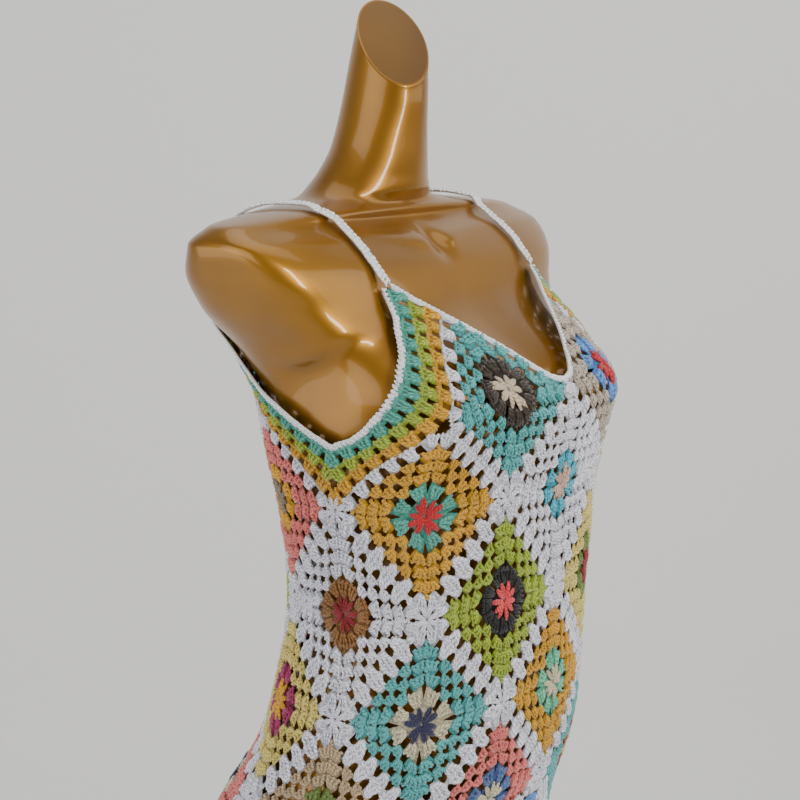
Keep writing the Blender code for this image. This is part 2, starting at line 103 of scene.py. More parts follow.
# Where the middle of the body lies at each height: the chest is carried forward of the shoulders
POSTURE = (
    # height, y
    (0.46, 0.006), (0.72, 0.006), (0.84, 0.000), (0.94, -0.036),
    (1.04, -0.054), (1.12, -0.060), (1.20, -0.058), (1.24, -0.041),
    (1.28, -0.012), (1.31, -0.005), (1.335, 0.007), (1.352, 0.017),
    (1.393, 0.003), (1.433, -0.004), (1.466, -0.009), (1.510, -0.018),
)

# The form's sections: reach from the middle to each side, the front and the back, and how square the outline is
FORM = (
    # height, side, front, back, squareness
    (0.720, 0.140, 0.096, 0.104, 2.2),
    (0.760, 0.150, 0.104, 0.114, 2.2),
    (0.840, 0.155, 0.108, 0.118, 2.2),
    (0.900, 0.146, 0.100, 0.106, 2.2),
    (0.960, 0.126, 0.082, 0.098, 2.2),
    (1.020, 0.112, 0.070, 0.088, 2.2),
    (1.080, 0.118, 0.070, 0.092, 2.2),
    (1.140, 0.132, 0.078, 0.106, 2.3),
    (1.190, 0.142, 0.086, 0.118, 2.4),
    (1.220, 0.148, 0.088, 0.120, 2.5),
    (1.250, 0.158, 0.074, 0.118, 2.7),
    (1.280, 0.179, 0.065, 0.094, 3.5),
    (1.305, 0.193, 0.057, 0.082, 4.0),
    (1.325, 0.200, 0.045, 0.059, 4.0),
    (1.338, 0.190, 0.032, 0.047, 2.6),
    (1.345, 0.142, 0.040, 0.042, 2.2),
    (1.349, 0.094, 0.038, 0.046, 2.1),
    (1.353, 0.070, 0.041, 0.043, 2.0),
    (1.360, 0.058, 0.045, 0.041, 2.0),
    (1.372, 0.049, 0.042, 0.038, 2.0),
    (1.393, 0.039, 0.036, 0.038, 2.0),
    (1.433, 0.030, 0.032, 0.035, 2.0),
    (1.470, 0.027, 0.027, 0.029, 2.0),
)

# The dress where it hangs free of the form: reach of the middle of the cloth
DRESS = (
    # height, side, front, back, squareness
    (0.460, 0.170, 0.122, 0.130, 2.2),
    (0.620, 0.168, 0.119, 0.127, 2.2),
    (0.740, 0.165, 0.116, 0.124, 2.2),
    (0.840, 0.160, 0.117, 0.123, 2.2),
    (0.940, 0.145, 0.111, 0.104, 2.2),
    (1.040, 0.133, 0.101, 0.103, 2.25),
    (1.120, 0.140, 0.097, 0.113, 2.35),
    (1.170, 0.146, 0.106, 0.120, 2.5),
    (1.210, 0.150, 0.113, 0.122, 2.6),
    (1.243, 0.150, 0.102, 0.115, 2.5),
    (1.266, 0.148, 0.0965, 0.105, 2.5),
    (1.295, 0.135, 0.086, 0.085, 2.4),
    (1.340, 0.100, 0.045, 0.040, 2.2),
)
CLOTH_CLEARANCE = 0.0048  # from the form to the middle of the cloth
BLEND = 0.004  # how softly the hanging cloth comes onto the form

# Bust of the form
BUST_HEIGHT = 1.203
BUST_ANGLE = math.radians(36)  # from the centre front
BUST_SPREAD = math.radians(21)
BUST_TALL = 0.040
BUST_DEPTH = 0.024

# Collarbones and the notch between them
COLLAR_HEIGHT = 1.319
COLLAR_RISE = 0.16
COLLAR_SPREAD = 0.006
COLLAR_DEPTH = 0.004
COLLAR_INNER = 0.016
COLLAR_OUTER = 0.105
NOTCH_DEPTH = 0.006
NOTCH_SIZE = 0.011

# The neck ends in a slanting cut, high at the back and at the left
CUT_START = 1.395
CUT_END = 1.470
CUT_RISE_BACK = 1.0
CUT_RISE_LEFT = 0.68

# Skirt folds
FOLDS = 8
FOLD_DEPTH = 0.006
FOLD_START = 0.80
FOLD_END = 0.50

# Edgings and straps
EDGE_WIDTH = 0.0055
EDGE_GAP = 0.0008
EDGE_PITCH = 0.036  # of the small stitches, in parts of a square's side
EDGE_SEAT = 0.42  # share of the edging's width at which its stitches sit
EDGE_SIZE = (1.0, 0.74)
EDGE_BAND = (0.9, 0.0012)  # the band under the stitches: its share of the width, and its thickness
BAND_STEP = 0.006
ROUTE_STEPS = 60
STRAP_WIDTH = 0.008
STRAP_THICK = 0.0032
STRAP_CLEARANCE = 0.0015
STRAP_TOP_X = 0.099  # where the strap crosses the top of the shoulder
STRAP_PIVOT = 1.285  # height of the line that the strap is swept round
STRAP_STEPS = 30
STRAP_START = 0.035  # share of the way between the corners at which it starts, clear of the edgings
STRAP_PLACE = {-1: 30.0, 1: 40.0}  # where each strap lies in the chart, well clear of the dress
STRAP_SEWN = 0.0065  # how far a strap runs on at each end, to where it is sewn to the edgings
STRAP_SPARE = 0.02  # how far the guide runs on, so that every stitch lies on it
STRAP_ROW = 0.017  # from the strap's middle to each of its two rows
STRAP_STITCH = 0.85
STRAP_TAPER = (0.5, 0.3)  # how much nearer and smaller its stitches are at the sewn ends
STRAP_BAND = (0.8, 0.0014)
TAUT_STEPS = 120

# Tables of the cloth's middle
TABLE_HEIGHTS = np.linspace(0.42, 1.34, 231)
TABLE_PER_COLUMN = 24
RING_SAMPLES = 720
GUIDE_COLUMNS = np.arange(-6.6, 8.45, 0.1)
GUIDE_ROWS = np.arange(-2.2, 9.35, 0.1)

# Rounds of a granny square, from its centre, in parts of its side
SIDE = 0.1095  # a square's side in metres, which turns heights in the chart into metres
SIDES = ((1, 0), (0, 1), (-1, 0), (0, -1))  # the way out of each side of a square, in the chart
ROUNDS = (2, 3, 4, 5, 6)
LAST_ROUND = ROUNDS[-1]
ROUND_EDGES = (0.118, 0.208, 0.272, 0.336, 0.400, 0.5)
CLUSTER_TALL = 0.076  # as the stitches are drawn, before they are fitted to their round
CLUSTER_PITCH = 0.144
CLUSTER_HALF = 0.043
CLUSTER_WAIST = 0.018
CORNER = (0.10, 0.50, 0.020)  # stitches at a corner: how much wider, how far they lean and move towards it
LAST_CORNER = (-0.28, 0.74, 0.022)
CORNER_OPEN = 0.034  # half the gap in the ground at each corner
LAST_CORNER_OPEN = 0.070
CHAIN_INSET = 0.014  # how far inside the corner of its round a chain lies
CHAIN_SIZE = (1.15, 0.8)
RING_RADIUS = 0.170  # the ring is worked round, so its stitches all point out from the middle
RING_TALL = 1.22
RING_OPEN = (8, 0.98)  # stitches, and how wide each is
RING_DENSE = (12, 0.88)
DENSE_DYES = ("black", "dark_brown", "brown")  # dark rings are worked closer
HEADS_APART = 0.98
HEADS_MEET = 1.06  # the last round's stitches spread until their heads touch
SEAM_DEEP = 0.010  # room that the last round leaves for the row that joins the squares
SEAM_SHARE = 0.84  # how far up the last round its gaps close
JOINS = 14
JOIN_SIZE = (1.5, 1.0)
KNOT_SPOKES = 8  # where four squares meet, their corners are drawn together
KNOT_SIZE = (0.9, 0.72)
SPOKES = 10
STAR_NET = (-0.092, -0.052, -0.02, 0.02, 0.052, 0.092)  # corners of the ground along the star's edge
NECK_STRETCH = 1.36  # the squares under the neckline are drawn up to it
NECK_ROOM = 0.015  # a stitch this close to the neckline is left out
CUP_SWELL = 1.2  # how much wider the stitches at the sides of a drawn-up square are
STRIPE_ROOM = (0.03, 0.02)  # from the neckline, and from the side line
STRIPE_EDGES = (-0.36, -0.14, 0.14, 0.36)  # a cluster's edges and waist, in parts of the pitch
STRIPE_BELT = 0.12  # share of the stripes taken by the belt of ground along each row
GROUND_THICK = 0.0013
TWIST_SCALE = 12  # of the length along a strand, for the twist of its plies

# How unevenly the stitches are worked
PLACE_SHAKE = 0.004
TURN_SHAKE = 0.13
SIZE_SHAKE = (0.94, 1.09)
HEIGHT_SHAKE = (0.9, 1.15)
LIGHT_SHAKE = (0.93, 1.07)

# Yarn colours, as red, green and blue on a dye card
YARNS = {
    "white": (229, 229, 238),
    "turquoise": (90, 176, 174),
    "teal": (84, 170, 150),
    "lime": (160, 178, 56),
    "mustard": (212, 158, 40),
    "red": (190, 30, 36),
    "dark_brown": (62, 52, 42),
    "beige": (206, 186, 158),
    "brown": (152, 104, 54),
    "wine": (142, 30, 36),
    "cream": (206, 196, 164),
    "navy": (46, 46, 78),
    "coral_red": (226, 80, 80),
    "black": (40, 38, 38),
    "pale_yellow": (222, 202, 112),
    "magenta": (164, 50, 96),
    "golden": (220, 162, 30),
    "coral_pink": (226, 122, 114),
    "slate_blue": (84, 110, 162),
    "sand": (188, 164, 128),
    "olive": (110, 132, 60),
    "mint": (112, 198, 160),
    "sky": (76, 178, 198),
    "cornflower": (96, 146, 212),
    "grey_brown": (140, 122, 104),
    "pink_beige": (204, 170, 150),
    "heather": (190, 176, 158),
}

# Each square's outer rounds, ring and star
SQUARES = {
    # column, row
    (3, 1): ("white", "sky", "pink_beige"),
    (1, 1): ("mustard", "teal", "red"),
    (5, 1): ("pale_yellow", "magenta", "cream"),
    (2, 0): ("turquoise", "dark_brown", "beige"),
    (4, 0): ("heather", "cornflower", "red"),
    (0, 2): ("white", "brown", "wine"),
    (2, 2): ("lime", "black", "coral_red"),
    (4, 2): ("pale_yellow", "olive", "wine"),
    (6, 2): ("turquoise", "magenta", "cream"),
    (1, 3): ("turquoise", "cream", "navy"),
    (3, 3): ("mustard", "mint", "cream"),
    (5, 3): ("coral_pink", "navy", "golden"),
    (0, 4): ("sand", "olive", "red"),
    (2, 4): ("coral_pink", "slate_blue", "cream"),
    (4, 4): ("turquoise", "wine", "pale_yellow"),
    (6, 4): ("lime", "brown", "cream"),
    (1, 5): ("lime", "magenta", "cream"),
    (3, 5): ("cornflower", "cream", "wine"),
    (5, 5): ("mustard", "black", "turquoise"),
    (0, 6): ("turquoise", "wine", "golden"),
    (2, 6): ("cream", "brown", "coral_red"),
    (4, 6): ("coral_pink", "teal", "cream"),
    (6, 6): ("sand", "navy", "mustard"),
    (1, 7): ("coral_pink", "olive", "pale_yellow"),
    (3, 7): ("mint", "black", "cream"),
    (5, 7): ("pale_yellow", "slate_blue", "red"),
    (0, 8): ("mustard", "slate_blue", "cream"),
    (2, 8): ("turquoise", "brown", "golden"),
    (4, 8): ("sand", "magenta", "lime"),
    (6, 8): ("cornflower", "wine", "cream"),
    (-2, 0): ("sand", "teal", "red"),
    (-4, 0): ("coral_pink", "black", "cream"),
    (-1, 1): ("coral_pink", "golden", "grey_brown"),
    (-3, 1): ("turquoise", "navy", "cream"),
    (-5, 1): ("lime", "wine", "sand"),
    (-2, 2): ("lime", "magenta", "cream"),
    (-4, 2): ("mustard", "brown", "white"),
    (-1, 3): ("pale_yellow", "magenta", "golden"),
    (-3, 3): ("coral_pink", "olive", "cream"),
    (-5, 3): ("turquoise", "black", "red"),
    (-2, 4): ("coral_pink", "cream", "navy"),
    (-4, 4): ("sand", "cornflower", "wine"),
    (-1, 5): ("cream", "slate_blue", "red"),
    (-3, 5): ("lime", "brown", "cream"),
    (-5, 5): ("pale_yellow", "teal", "wine"),
    (-2, 6): ("turquoise", "coral_red", "cream"),
    (-4, 6): ("mustard", "navy", "mint"),
    (-1, 7): ("sand", "olive", "coral_red"),
    (-3, 7): ("cornflower", "cream", "magenta"),
    (-5, 7): ("coral_pink", "dark_brown", "golden"),
    (-2, 8): ("lime", "wine", "cream"),
    (-4, 8): ("turquoise", "mustard", "navy"),
}
STRIPES = ("mustard", "lime", "teal")  # from the squares out to the armhole

# The four quarters above the whole squares are one quarter, turned over: column = way * column + shift
QUARTERS = {
    # name: way, shift, is it on the front
    "front_right": (1, 0, True),
    "front_left": (-1, 6, True),
    "back_right": (-1, 0, False),
    "back_left": (1, -6, False),
}

# Form skin
SKIN_SIDES = 144
SIDE_CROWDING = 0.18  # brings more of the form's edges to its shoulder ends
SKIN_RINGS = (
    # from, to, rings
    (0.720, 1.140, 40),
    (1.140, 1.290, 44),
    (1.290, 1.360, 52),
    (1.360, 1.470, 40),
)
NECK_RIM = 0.0012
NECK_RIM_RISE = 0.4
CRISP = math.radians(50)
CUT_PAINTED_SHADE = 0.5  # the cut across the neck gets painted shade in its colour, and a thinner clear coat

# Where an arm would join, the form ends in a flat oval with a crisp rim
STUMP_Y = -0.030
STUMP_Z = 1.293
STUMP_WIDE = 0.070
STUMP_TALL = 0.050
STUMP_TILT = 0.50
STUMP_RIM = 0.007
STUMP_EDGE = (0.9, 1.12)  # where the form sinks round the oval, in parts of the oval's size
STUMP_BANK = (1.15, 2.1)  # where it comes back
STUMP_ACROSS = (0.08, 0.15)  # no rim nearer to the middle of the body
STUMP_BEHIND = (0.0, 0.035)  # nor behind the oval's middle

# Camera and studio
CAMERA_RIGHT = Vector((0.5592, -0.8290, 0.0))
CAMERA_AHEAD = Vector((0.8177, 0.5515, -0.1650))
CAMERA_DISTANCE = 1.5
CAMERA_LENS = 84.4
AIM_HEIGHT = 1.19
AIM_SHIFT = 0.0128
BACKDROP = (
    # away, height
    (-4.0, 0.0), (1.0, 0.0), (1.25, 0.05), (1.45, 0.2), (1.55, 0.45), (1.6, 1.0), (1.6, 3.4),
)
BACKDROP_HALF = 4.0
FLOOR_DROP = 0.0005
LIGHTS_AIM = Vector((0, 0, 1.2))
LIGHTS = (
    # name, degrees round from the camera, distance, height over the aim, size, power, colour
    ("window", 42, 2.2, 0.75, (0.24, 1.5), 42, (1.0, 0.985, 0.96)),
    ("soft_side", 85, 2.3, 0.9, (2.4, 2.0), 28, (1.0, 0.98, 0.95)),
    ("front_fill", -45, 2.8, 0.6, (2.8, 2.2), 46, (0.98, 0.985, 1.0)),
    ("low_bounce", -72, 2.4, -0.45, (2.0, 1.4), 18, (1.0, 0.98, 0.95)),
    ("top", 0, 0.0, 1.7, (1.8, 1.8), 16, (1, 1, 1)),
)

random_turns = np.random.default_rng(11)


# The body and the cloth ---------------------------------------------------------------------------------------


def smooth_through(rows, column, at):
    """A column of a table as a smooth curve over its first column, with no overshoot."""
    table = np.array(rows, float)
    x, y = table[:, 0], table[:, column]
    step = np.diff(x)
    slope = np.diff(y) / step
    tangent = np.zeros(len(x))
    tangent[0], tangent[-1] = slope[0], slope[-1]
    same_way = slope[:-1] * slope[1:] > 0
    before, after = 2 * step[1:] + step[:-1], step[1:] + 2 * step[:-1]
    safe = np.where(same_way, slope[:-1] * slope[1:], 1.0)
    mean = (before + after) * safe / (before * slope[1:] + after * slope[:-1] + np.where(same_way, 0.0, 1e9))
    tangent[1:-1] = np.where(same_way, mean, 0.0)
    at = np.clip(at, x[0], x[-1])
    i = np.clip(np.searchsorted(x, at, side="right") - 1, 0, len(step) - 1)
    t = (at - x[i]) / step[i]
    rise = t * t * (3 - 2 * t)
    lead = t * (1 - t) ** 2 * tangent[i] - t * t * (1 - t) * tangent[i + 1]
    return y[i] + rise * (y[i + 1] - y[i]) + step[i] * lead


def bell(distance, spread):
    return np.exp(-((distance / spread) ** 2))


def eased(value, start, end):
    t = np.clip((value - start) / (end - start), 0, 1)
    return t * t * (3 - 2 * t)


def unit(vectors):
    return vectors / np.linalg.norm(vectors, axis=-1, keepdims=True)


def lengths_along(points):
    """How far along a line each of its points lies."""
    return np.concatenate([[0], np.cumsum(np.linalg.norm(np.diff(points, axis=0), axis=1))])


def reach(rows, height, angle):
    """Distance from the middle to a section's outline. The angle runs from the centre front to the left side."""
    side, front, back, power = (smooth_through(rows, k, height) for k in (1, 2, 3, 4))
    deep = np.where(np.cos(angle) > 0, front, back)
    across = (np.abs(np.sin(angle)) / side) ** power
    along = (np.abs(np.cos(angle)) / deep) ** power
    return (across + along) ** (-1 / power)


def form_reach(height, angle):
    """The form's outline, with its bust and collarbones."""
    out = reach(FORM, height, angle)
    turn = np.abs((angle + math.pi) % (2 * math.pi) - math.pi)
    bust = bell(turn - BUST_ANGLE, BUST_SPREAD) + bell(turn + BUST_ANGLE, BUST_SPREAD)
    out = out + BUST_DEPTH * bust * bell(height - BUST_HEIGHT, BUST_TALL)
    x = out * np.sin(turn)
    in_front = np.cos(angle) > 0
    along = bell(np.clip(x - COLLAR_OUTER, 0, None), 0.02) * bell(np.clip(COLLAR_INNER - x, 0, None), 0.006)
    ridge = COLLAR_DEPTH * along * bell(height - COLLAR_HEIGHT - COLLAR_RISE * x, COLLAR_SPREAD)
    notch = NOTCH_DEPTH * bell(x, NOTCH_SIZE) * bell(height - COLLAR_HEIGHT, NOTCH_SIZE)
    return out + np.where(in_front, ridge - notch, 0.0)


def dress_reach(height, angle):
    """The cloth hangs free, or lies on the form where the form reaches further."""
    free = reach(DRESS, height, angle)
    fall = np.clip((FOLD_START - height) / (FOLD_START - FOLD_END), 0, 1)
    uneven = np.cos(FOLDS * angle + 0.9 * np.sin(2 * angle) + 0.5)
    free = free + FOLD_DEPTH * fall * uneven
    resting = form_reach(height, angle) + CLOTH_CLEARANCE
    return (free + resting + np.sqrt((free - resting) ** 2 + BLEND**2)) / 2


def ring_points(reach_at, height, angle):
    out = reach_at(height, angle)
    middle = smooth_through(POSTURE, 1, height)
    return out * np.sin(angle), middle - out * np.cos(angle)


def cloth_table():
    """The middle of the cloth at each height of the table, at equal steps round each ring."""
    turn = np.linspace(0, 2 * math.pi, RING_SAMPLES + 1)
    share = np.arange(COLUMNS * TABLE_PER_COLUMN) / (COLUMNS * TABLE_PER_COLUMN)
    rings = []
    for height in TABLE_HEIGHTS:
        x, y = ring_points(dress_reach, height, turn)
        length = np.concatenate([[0], np.cumsum(np.hypot(np.diff(x), np.diff(y)))])
        length /= length[-1]
        rings.append(np.stack([np.interp(share, length, x), np.interp(share, length, y)], axis=-1))
    return np.array(rings)


CLOTH_TABLE = cloth_table()


def on_ring(column, height):
    """The middle of the cloth at columns, at heights."""
    count = COLUMNS * TABLE_PER_COLUMN
    place = ((column - FRONT_COLUMN) % COLUMNS) * TABLE_PER_COLUMN
    whole = np.floor(place).astype(int)
    c0, c1 = whole % count, (whole + 1) % count
    level = (height - TABLE_HEIGHTS[0]) / (TABLE_HEIGHTS[1] - TABLE_HEIGHTS[0])
    r0 = np.clip(np.floor(level).astype(int), 0, len(TABLE_HEIGHTS) - 2)
    s, t = (place - whole)[..., None], (level - r0)[..., None]
    low = CLOTH_TABLE[r0, c0] * (1 - s) + CLOTH_TABLE[r0, c1] * s
    high = CLOTH_TABLE[r0 + 1, c0] * (1 - s) + CLOTH_TABLE[r0 + 1, c1] * s
    return np.concatenate([low * (1 - t) + high * t, height[..., None]], axis=-1)


def row_height(column, row):
    front = np.abs((column - FRONT_COLUMN + COLUMNS / 2) % COLUMNS - COLUMNS / 2)
    is_front = front <= COLUMNS / 4
    off = np.where(is_front, front, COLUMNS / 2 - front)
    fall = HALF_PITCH * np.where(row > 0, row, SLANT * row)
    ease = np.clip((LIFT_REACH - off) / LIFT_FADE, 0, 1)
    lift = np.where(is_front, FRONT_LIFT * ease * ease * (3 - 2 * ease), 0.0)
    sag = NECK_SAG * np.cos(math.pi * off / 2) ** 2 * np.exp(-((row / SAG_ROWS) ** 2))
    return ROW_ZERO_HEIGHT - fall + lift - sag


def drawn_in(column, row):
    moved = 0.0
    for way in (1, -1):
        for meeting in (FRONT_COLUMN, BACK_COLUMN):
            away = (column - meeting + 2 * way + COLUMNS / 2) % COLUMNS - COLUMNS / 2
            moved = moved + way * DRAWN_IN * np.exp(-((away**2 + row**2) / DRAWN_SPREAD**2))
    return moved


def fabric(column, row):
    """Points of the middle of the cloth, from arrays of columns and rows."""
    column, row = np.broadcast_arrays(np.asarray(column, float), np.asarray(row, float))
    turned = column + smooth_through(TURN, 1, np.maximum(row, 0.0))
    return on_ring(turned + drawn_in(column, row), row_height(column, row))


def fabric_slopes(column, row):
    step = 0.02
    across = (fabric(column + step, row) - fabric(column - step, row)) / (2 * step)
    down = (fabric(column, row + step) - fabric(column, row - step)) / (2 * step)
    return across, down


def fabric_normal(column, row):
    across, down = fabric_slopes(column, row)
    return unit(np.cross(down, across))


def moved_along(column, row, offset):
    """The columns and rows that lie on the fabric at an offset in metres from given ones."""
    across, down = fabric_slopes(column, row)
    aa, ad, dd = (np.sum(p * q, axis=-1) for p, q in ((across, across), (across, down), (down, down)))
    oa, od = np.sum(offset * across, axis=-1), np.sum(offset * down, axis=-1)
    span = aa * dd - ad * ad
    return column + (oa * dd - od * ad) / span, row + (od * aa - oa * ad) / span


def to_lattice(chart):
    chart = np.asarray(chart, float)
    return chart[..., 0] - chart[..., 1], chart[..., 0] + chart[..., 1]


def to_chart(column, row):
    return np.stack([(column + row) / 2, (row - column) / 2], axis=-1)


def in_quarter(chart, quarter):
    """A place in the chart of the right front, moved to another quarter."""
    way, shift, _ = QUARTERS[quarter]
    column, row = to_lattice(chart)
    return to_chart(way * column + shift, row)


def along_quarter(direction, quarter):
    column, row = to_lattice(direction)
    return to_chart(QUARTERS[quarter][0] * column, row)


def neckline_up(across):
    return smooth_through(NECKLINE, 1, np.asarray(across, float))


def stripe_across(share, up, is_front):
    """Place across at shares of the striped rows: 0 is the armhole and 1 is where the squares begin."""
    edge = smooth_through(ARMHOLE, 1 if is_front else 2, np.asarray(up, float))
    return edge + (0.5 - edge) * share


def stripe_span(share, is_front):
    """Where a striped row starts at the neckline and ends at the side line."""
    top = float(neckline_up(NECKLINE[0][0] + (0.5 - NECKLINE[0][0]) * share))
    return top, float(stripe_across(share, ARMHOLE[-1][0], is_front))


def stripe_marks(k, is_front):
    """The ends of a striped row, how many pitches it has, and where its stitches stand."""
    top, bottom = stripe_span(1 - (k + 0.5) / len(STRIPES), is_front)
    count = max(int(round((bottom - top) / CLUSTER_PITCH)), 1)
    full = (k + 1) % 2  # every other row has a stitch more, and starts half a pitch earlier
    ups = [top + (bottom - top) * (j + 0.5 - 0.5 * full) / count for j in range(count + full)]
    return top, bottom, count, ups


# Materials ----------------------------------------------------------------------------------------------------


def linear(colour):
    """A dye card colour as Blender's linear colour."""
    share = np.array(colour, float) / 255
    return tuple(np.where(share <= 0.04045, share / 12.92, ((share + 0.055) / 1.055) ** 2.4)) + (1.0,)


def feed(tree, target, sockets):
    """Gives each named input its value, or links it to another node's output."""
    for name, value in sockets.items():
        if isinstance(value, bpy.types.NodeSocket):
            tree.links.new(value, target.inputs[name])
        else:
            target.inputs[name].default_value = value


def node(tree, kind, sockets=None, **settings):
    made = tree.nodes.new(kind)
    for name, value in settings.items():
        setattr(made, name, value)
    feed(tree, made, sockets or {})
    return made


def new_group(name, kind, inputs, outputs):
    """A node group, what comes into it, and its output node."""
    group = bpy.data.node_groups.new(name, kind)
    for way, sockets in (("INPUT", inputs), ("OUTPUT", outputs)):
        for socket, value in sockets.items():
            group.interface.new_socket(socket, in_out=way, socket_type=f"NodeSocket{value}")
    return group, node(group, "NodeGroupInput").outputs, node(group, "NodeGroupOutput")


def new_material(name):
    made = bpy.data.materials.new(name)
    made.use_nodes = True
    return made, made.node_tree, made.node_tree.nodes["Principled BSDF"]


def maths(tree, operation, *values):
    return node(tree, "ShaderNodeMath", dict(enumerate(values)), operation=operation).outputs[0]


def own_place(tree):
    return node(tree, "ShaderNodeTexCoord").outputs["Object"]


def noise(tree, scale, detail, roughness=0.5, place=None):
    sockets = {"Scale": scale, "Detail": detail, "Roughness": roughness}
    sockets["Vector"] = own_place(tree) if place is None else place
    return node(tree, "ShaderNodeTexNoise", sockets).outputs["Fac"]


def ranged(tree, value, low, high, start=0.0, end=1.0):
    """A value that runs from low to high while the given one runs from start to end."""
    sockets = {"Value": value, "From Min": start, "From Max": end, "To Min": low, "To Max": high}
    return node(tree, "ShaderNodeMapRange", sockets).outputs["Result"]


def ramp(tree, value, *stops):
    """A colour that changes between two stops, each a position and a dye card colour."""
    made = node(tree, "ShaderNodeValToRGB", {"Fac": value})
    for k, (position, colour) in enumerate(stops):
        made.color_ramp.elements[k].position = position
        made.color_ramp.elements[k].color = linear(colour)
    return made.outputs["Color"]


def bump(tree, height, strength, distance, **settings):
    sockets = {"Height": height, "Strength": strength, "Distance": distance}
    return node(tree, "ShaderNodeBump", sockets, **settings).outputs["Normal"]


def dyed(tree, shade):
    """The piece's own dyes, scaled by a factor that carries painted shade, and for the yarn uneven tone."""
    dye = node(tree, "ShaderNodeAttribute", attribute_name="yarn").outputs["Color"]
    return node(tree, "ShaderNodeVectorMath", {0: dye, "Scale": shade}, operation="SCALE").outputs[0]


def yarn_twist_group():
    """Plies that wind round a strand, and the fuzz on them: Height for a bump, Shade for painted shade between the
    plies in the colour.
    """
    results = {"Height": "Float", "Shade": "Float"}
    group, inside, outside = new_group("yarn twist", "ShaderNodeTree", {"Turns": "Float"}, results)
    strand = node(group, "ShaderNodeUVMap", uv_map="strand").outputs["UV"]
    parts = node(group, "ShaderNodeSeparateXYZ", {0: strand}).outputs
    phase = maths(group, "ADD", maths(group, "MULTIPLY", parts[1], inside["Turns"]), parts[0])
    wave = maths(group, "SINE", maths(group, "MULTIPLY", phase, 4 * math.pi))
    ply = maths(group, "MULTIPLY_ADD", wave, 0.5, 0.5)
    fuzz = noise(group, 1500, 3, 0.7)
    height = maths(group, "ADD", maths(group, "MULTIPLY", ply, 0.6), fuzz)
    # Painted shade: darker between the plies, with the fuzz adding uneven tone.
    shade = maths(group, "MULTIPLY", maths(group, "ADD", ply, fuzz), 0.5)
    feed(group, outside, {"Height": height, "Shade": shade})
    return group


def yarn_material(name, twist, turns, roughness):
    """Matt cotton: its dye comes from the piece's own colours, with painted shade between the plies, and a little
    uneven.
    """
    made, tree, shader = new_material(name)
    plies = node(tree, "ShaderNodeGroup", {"Turns": turns}, node_tree=twist).outputs
    # Painted shade between the plies; the noise after it is uneven tone.
    painted_ply_shade = ranged(tree, plies["Shade"], 0.46, 1.18, 0.15, 0.85)
    uneven = ranged(tree, noise(tree, 160, 2), 0.86, 1.12)
    feed(tree, shader, {
        "Base Color": dyed(tree, maths(tree, "MULTIPLY", painted_ply_shade, uneven)),
        "Normal": bump(tree, plies["Height"], 0.8, 0.0004),
        "Roughness": roughness,
        "Specular IOR Level": 0.3,
        "Sheen Weight": 0.25,
        "Sheen Roughness": 0.5,
    })
    return made


def ground_material():
    """The loops behind the clusters: the same dyes, darkened by painted shade as they lie deeper in the cloth, and
    darker away from the middle of each loop.
    """
    made, tree, shader = new_material("cotton ground")
    sockets = {"Vector": own_place(tree), "Scale": 420}
    loops = node(tree, "ShaderNodeTexVoronoi", sockets).outputs["Distance"]
    feed(tree, shader, {
        # Painted shade: the whole ground darker, and darker still between the loops.
        "Base Color": dyed(tree, ranged(tree, loops, 0.8, 0.4, 0.0, 0.7)),
        "Normal": bump(tree, loops, 0.7, 0.0008, invert=True),
        "Roughness": 0.9,
        "Specular IOR Level": 0.2,
    })
    return made


def lacquer_material():
    """Gold lacquer over a moulded form: a warm metallic coat under clear gloss, with faint waves from the mould."""
    made, tree, shader = new_material("gold lacquer finish")
    tone = ramp(tree, noise(tree, 9, 3), (0.3, (128, 84, 2)), (0.72, (150, 102, 4)))
    # The lacquer attribute carries painted shade on the neck's cut face, and thins the clear coat there.
    thin = node(tree, "ShaderNodeAttribute", attribute_name="lacquer").outputs
    coated = node(tree, "ShaderNodeVectorMath", {0: tone, 1: thin["Color"]}, operation="MULTIPLY")
    normal = bump(tree, noise(tree, 26, 1), 0.25, 0.0012)
    feed(tree, shader, {
        "Base Color": coated.outputs[0],
        "Normal": normal,
        "Coat Normal": normal,
        "Coat Weight": maths(tree, "MULTIPLY", thin["Fac"], 0.45),
        "Metallic": 0.6,
        "Roughness": 0.36,
        "Coat Roughness": 0.06,
        "Coat IOR": 1.5,
    })
    return made


def steel_material(name, base, roughness, scale):
    """Brushed steel: fine streaks that run one way."""
    made, tree, shader = new_material(name)
    stretch = node(tree, "ShaderNodeMapping", {"Vector": own_place(tree), "Scale": scale})
    streaks = noise(tree, 60, 4, place=stretch.outputs[0])
    feed(tree, shader, {
        "Base Color": ramp(tree, streaks, (0.3, [c * 0.86 for c in base]), (0.7, base)),
        "Normal": bump(tree, streaks, 0.15, 0.0003),
        "Roughness": ranged(tree, streaks, roughness - 0.08, roughness + 0.12),
        "Metallic": 1.0,
    })
    return made


# Meshes -------------------------------------------------------------------------------------------------------


def show(made):
    bpy.context.scene.collection.objects.link(made)
    return made


def add_mesh(name, points, faces, material):
    mesh = bpy.data.meshes.new(name)
    mesh.from_pydata([tuple(point) for point in points], [], faces)
    mesh.polygons.foreach_set("use_smooth", [True] * len(mesh.polygons))
    if material:
        mesh.materials.append(material)
    return show(bpy.data.objects.new(name, mesh))


def add_layer(mesh, name, kind, domain, values):
    """Writes an attribute, in the order of the mesh's own points or corners."""
    field = {"FLOAT": "value", "INT": "value", "FLOAT_COLOR": "color"}.get(kind, "vector")
    mesh.attributes.new(name, kind, domain).data.foreach_set(field, np.array(values).ravel())


def dye_faces(mesh, colours, name="yarn"):
    """Gives every face its own colour."""
    spread = np.repeat(np.array(colours, float), [face.loop_total for face in mesh.polygons], axis=0)
    mesh.color_attributes.new(name, "FLOAT_COLOR", "CORNER").data.foreach_set("color", spread.ravel())


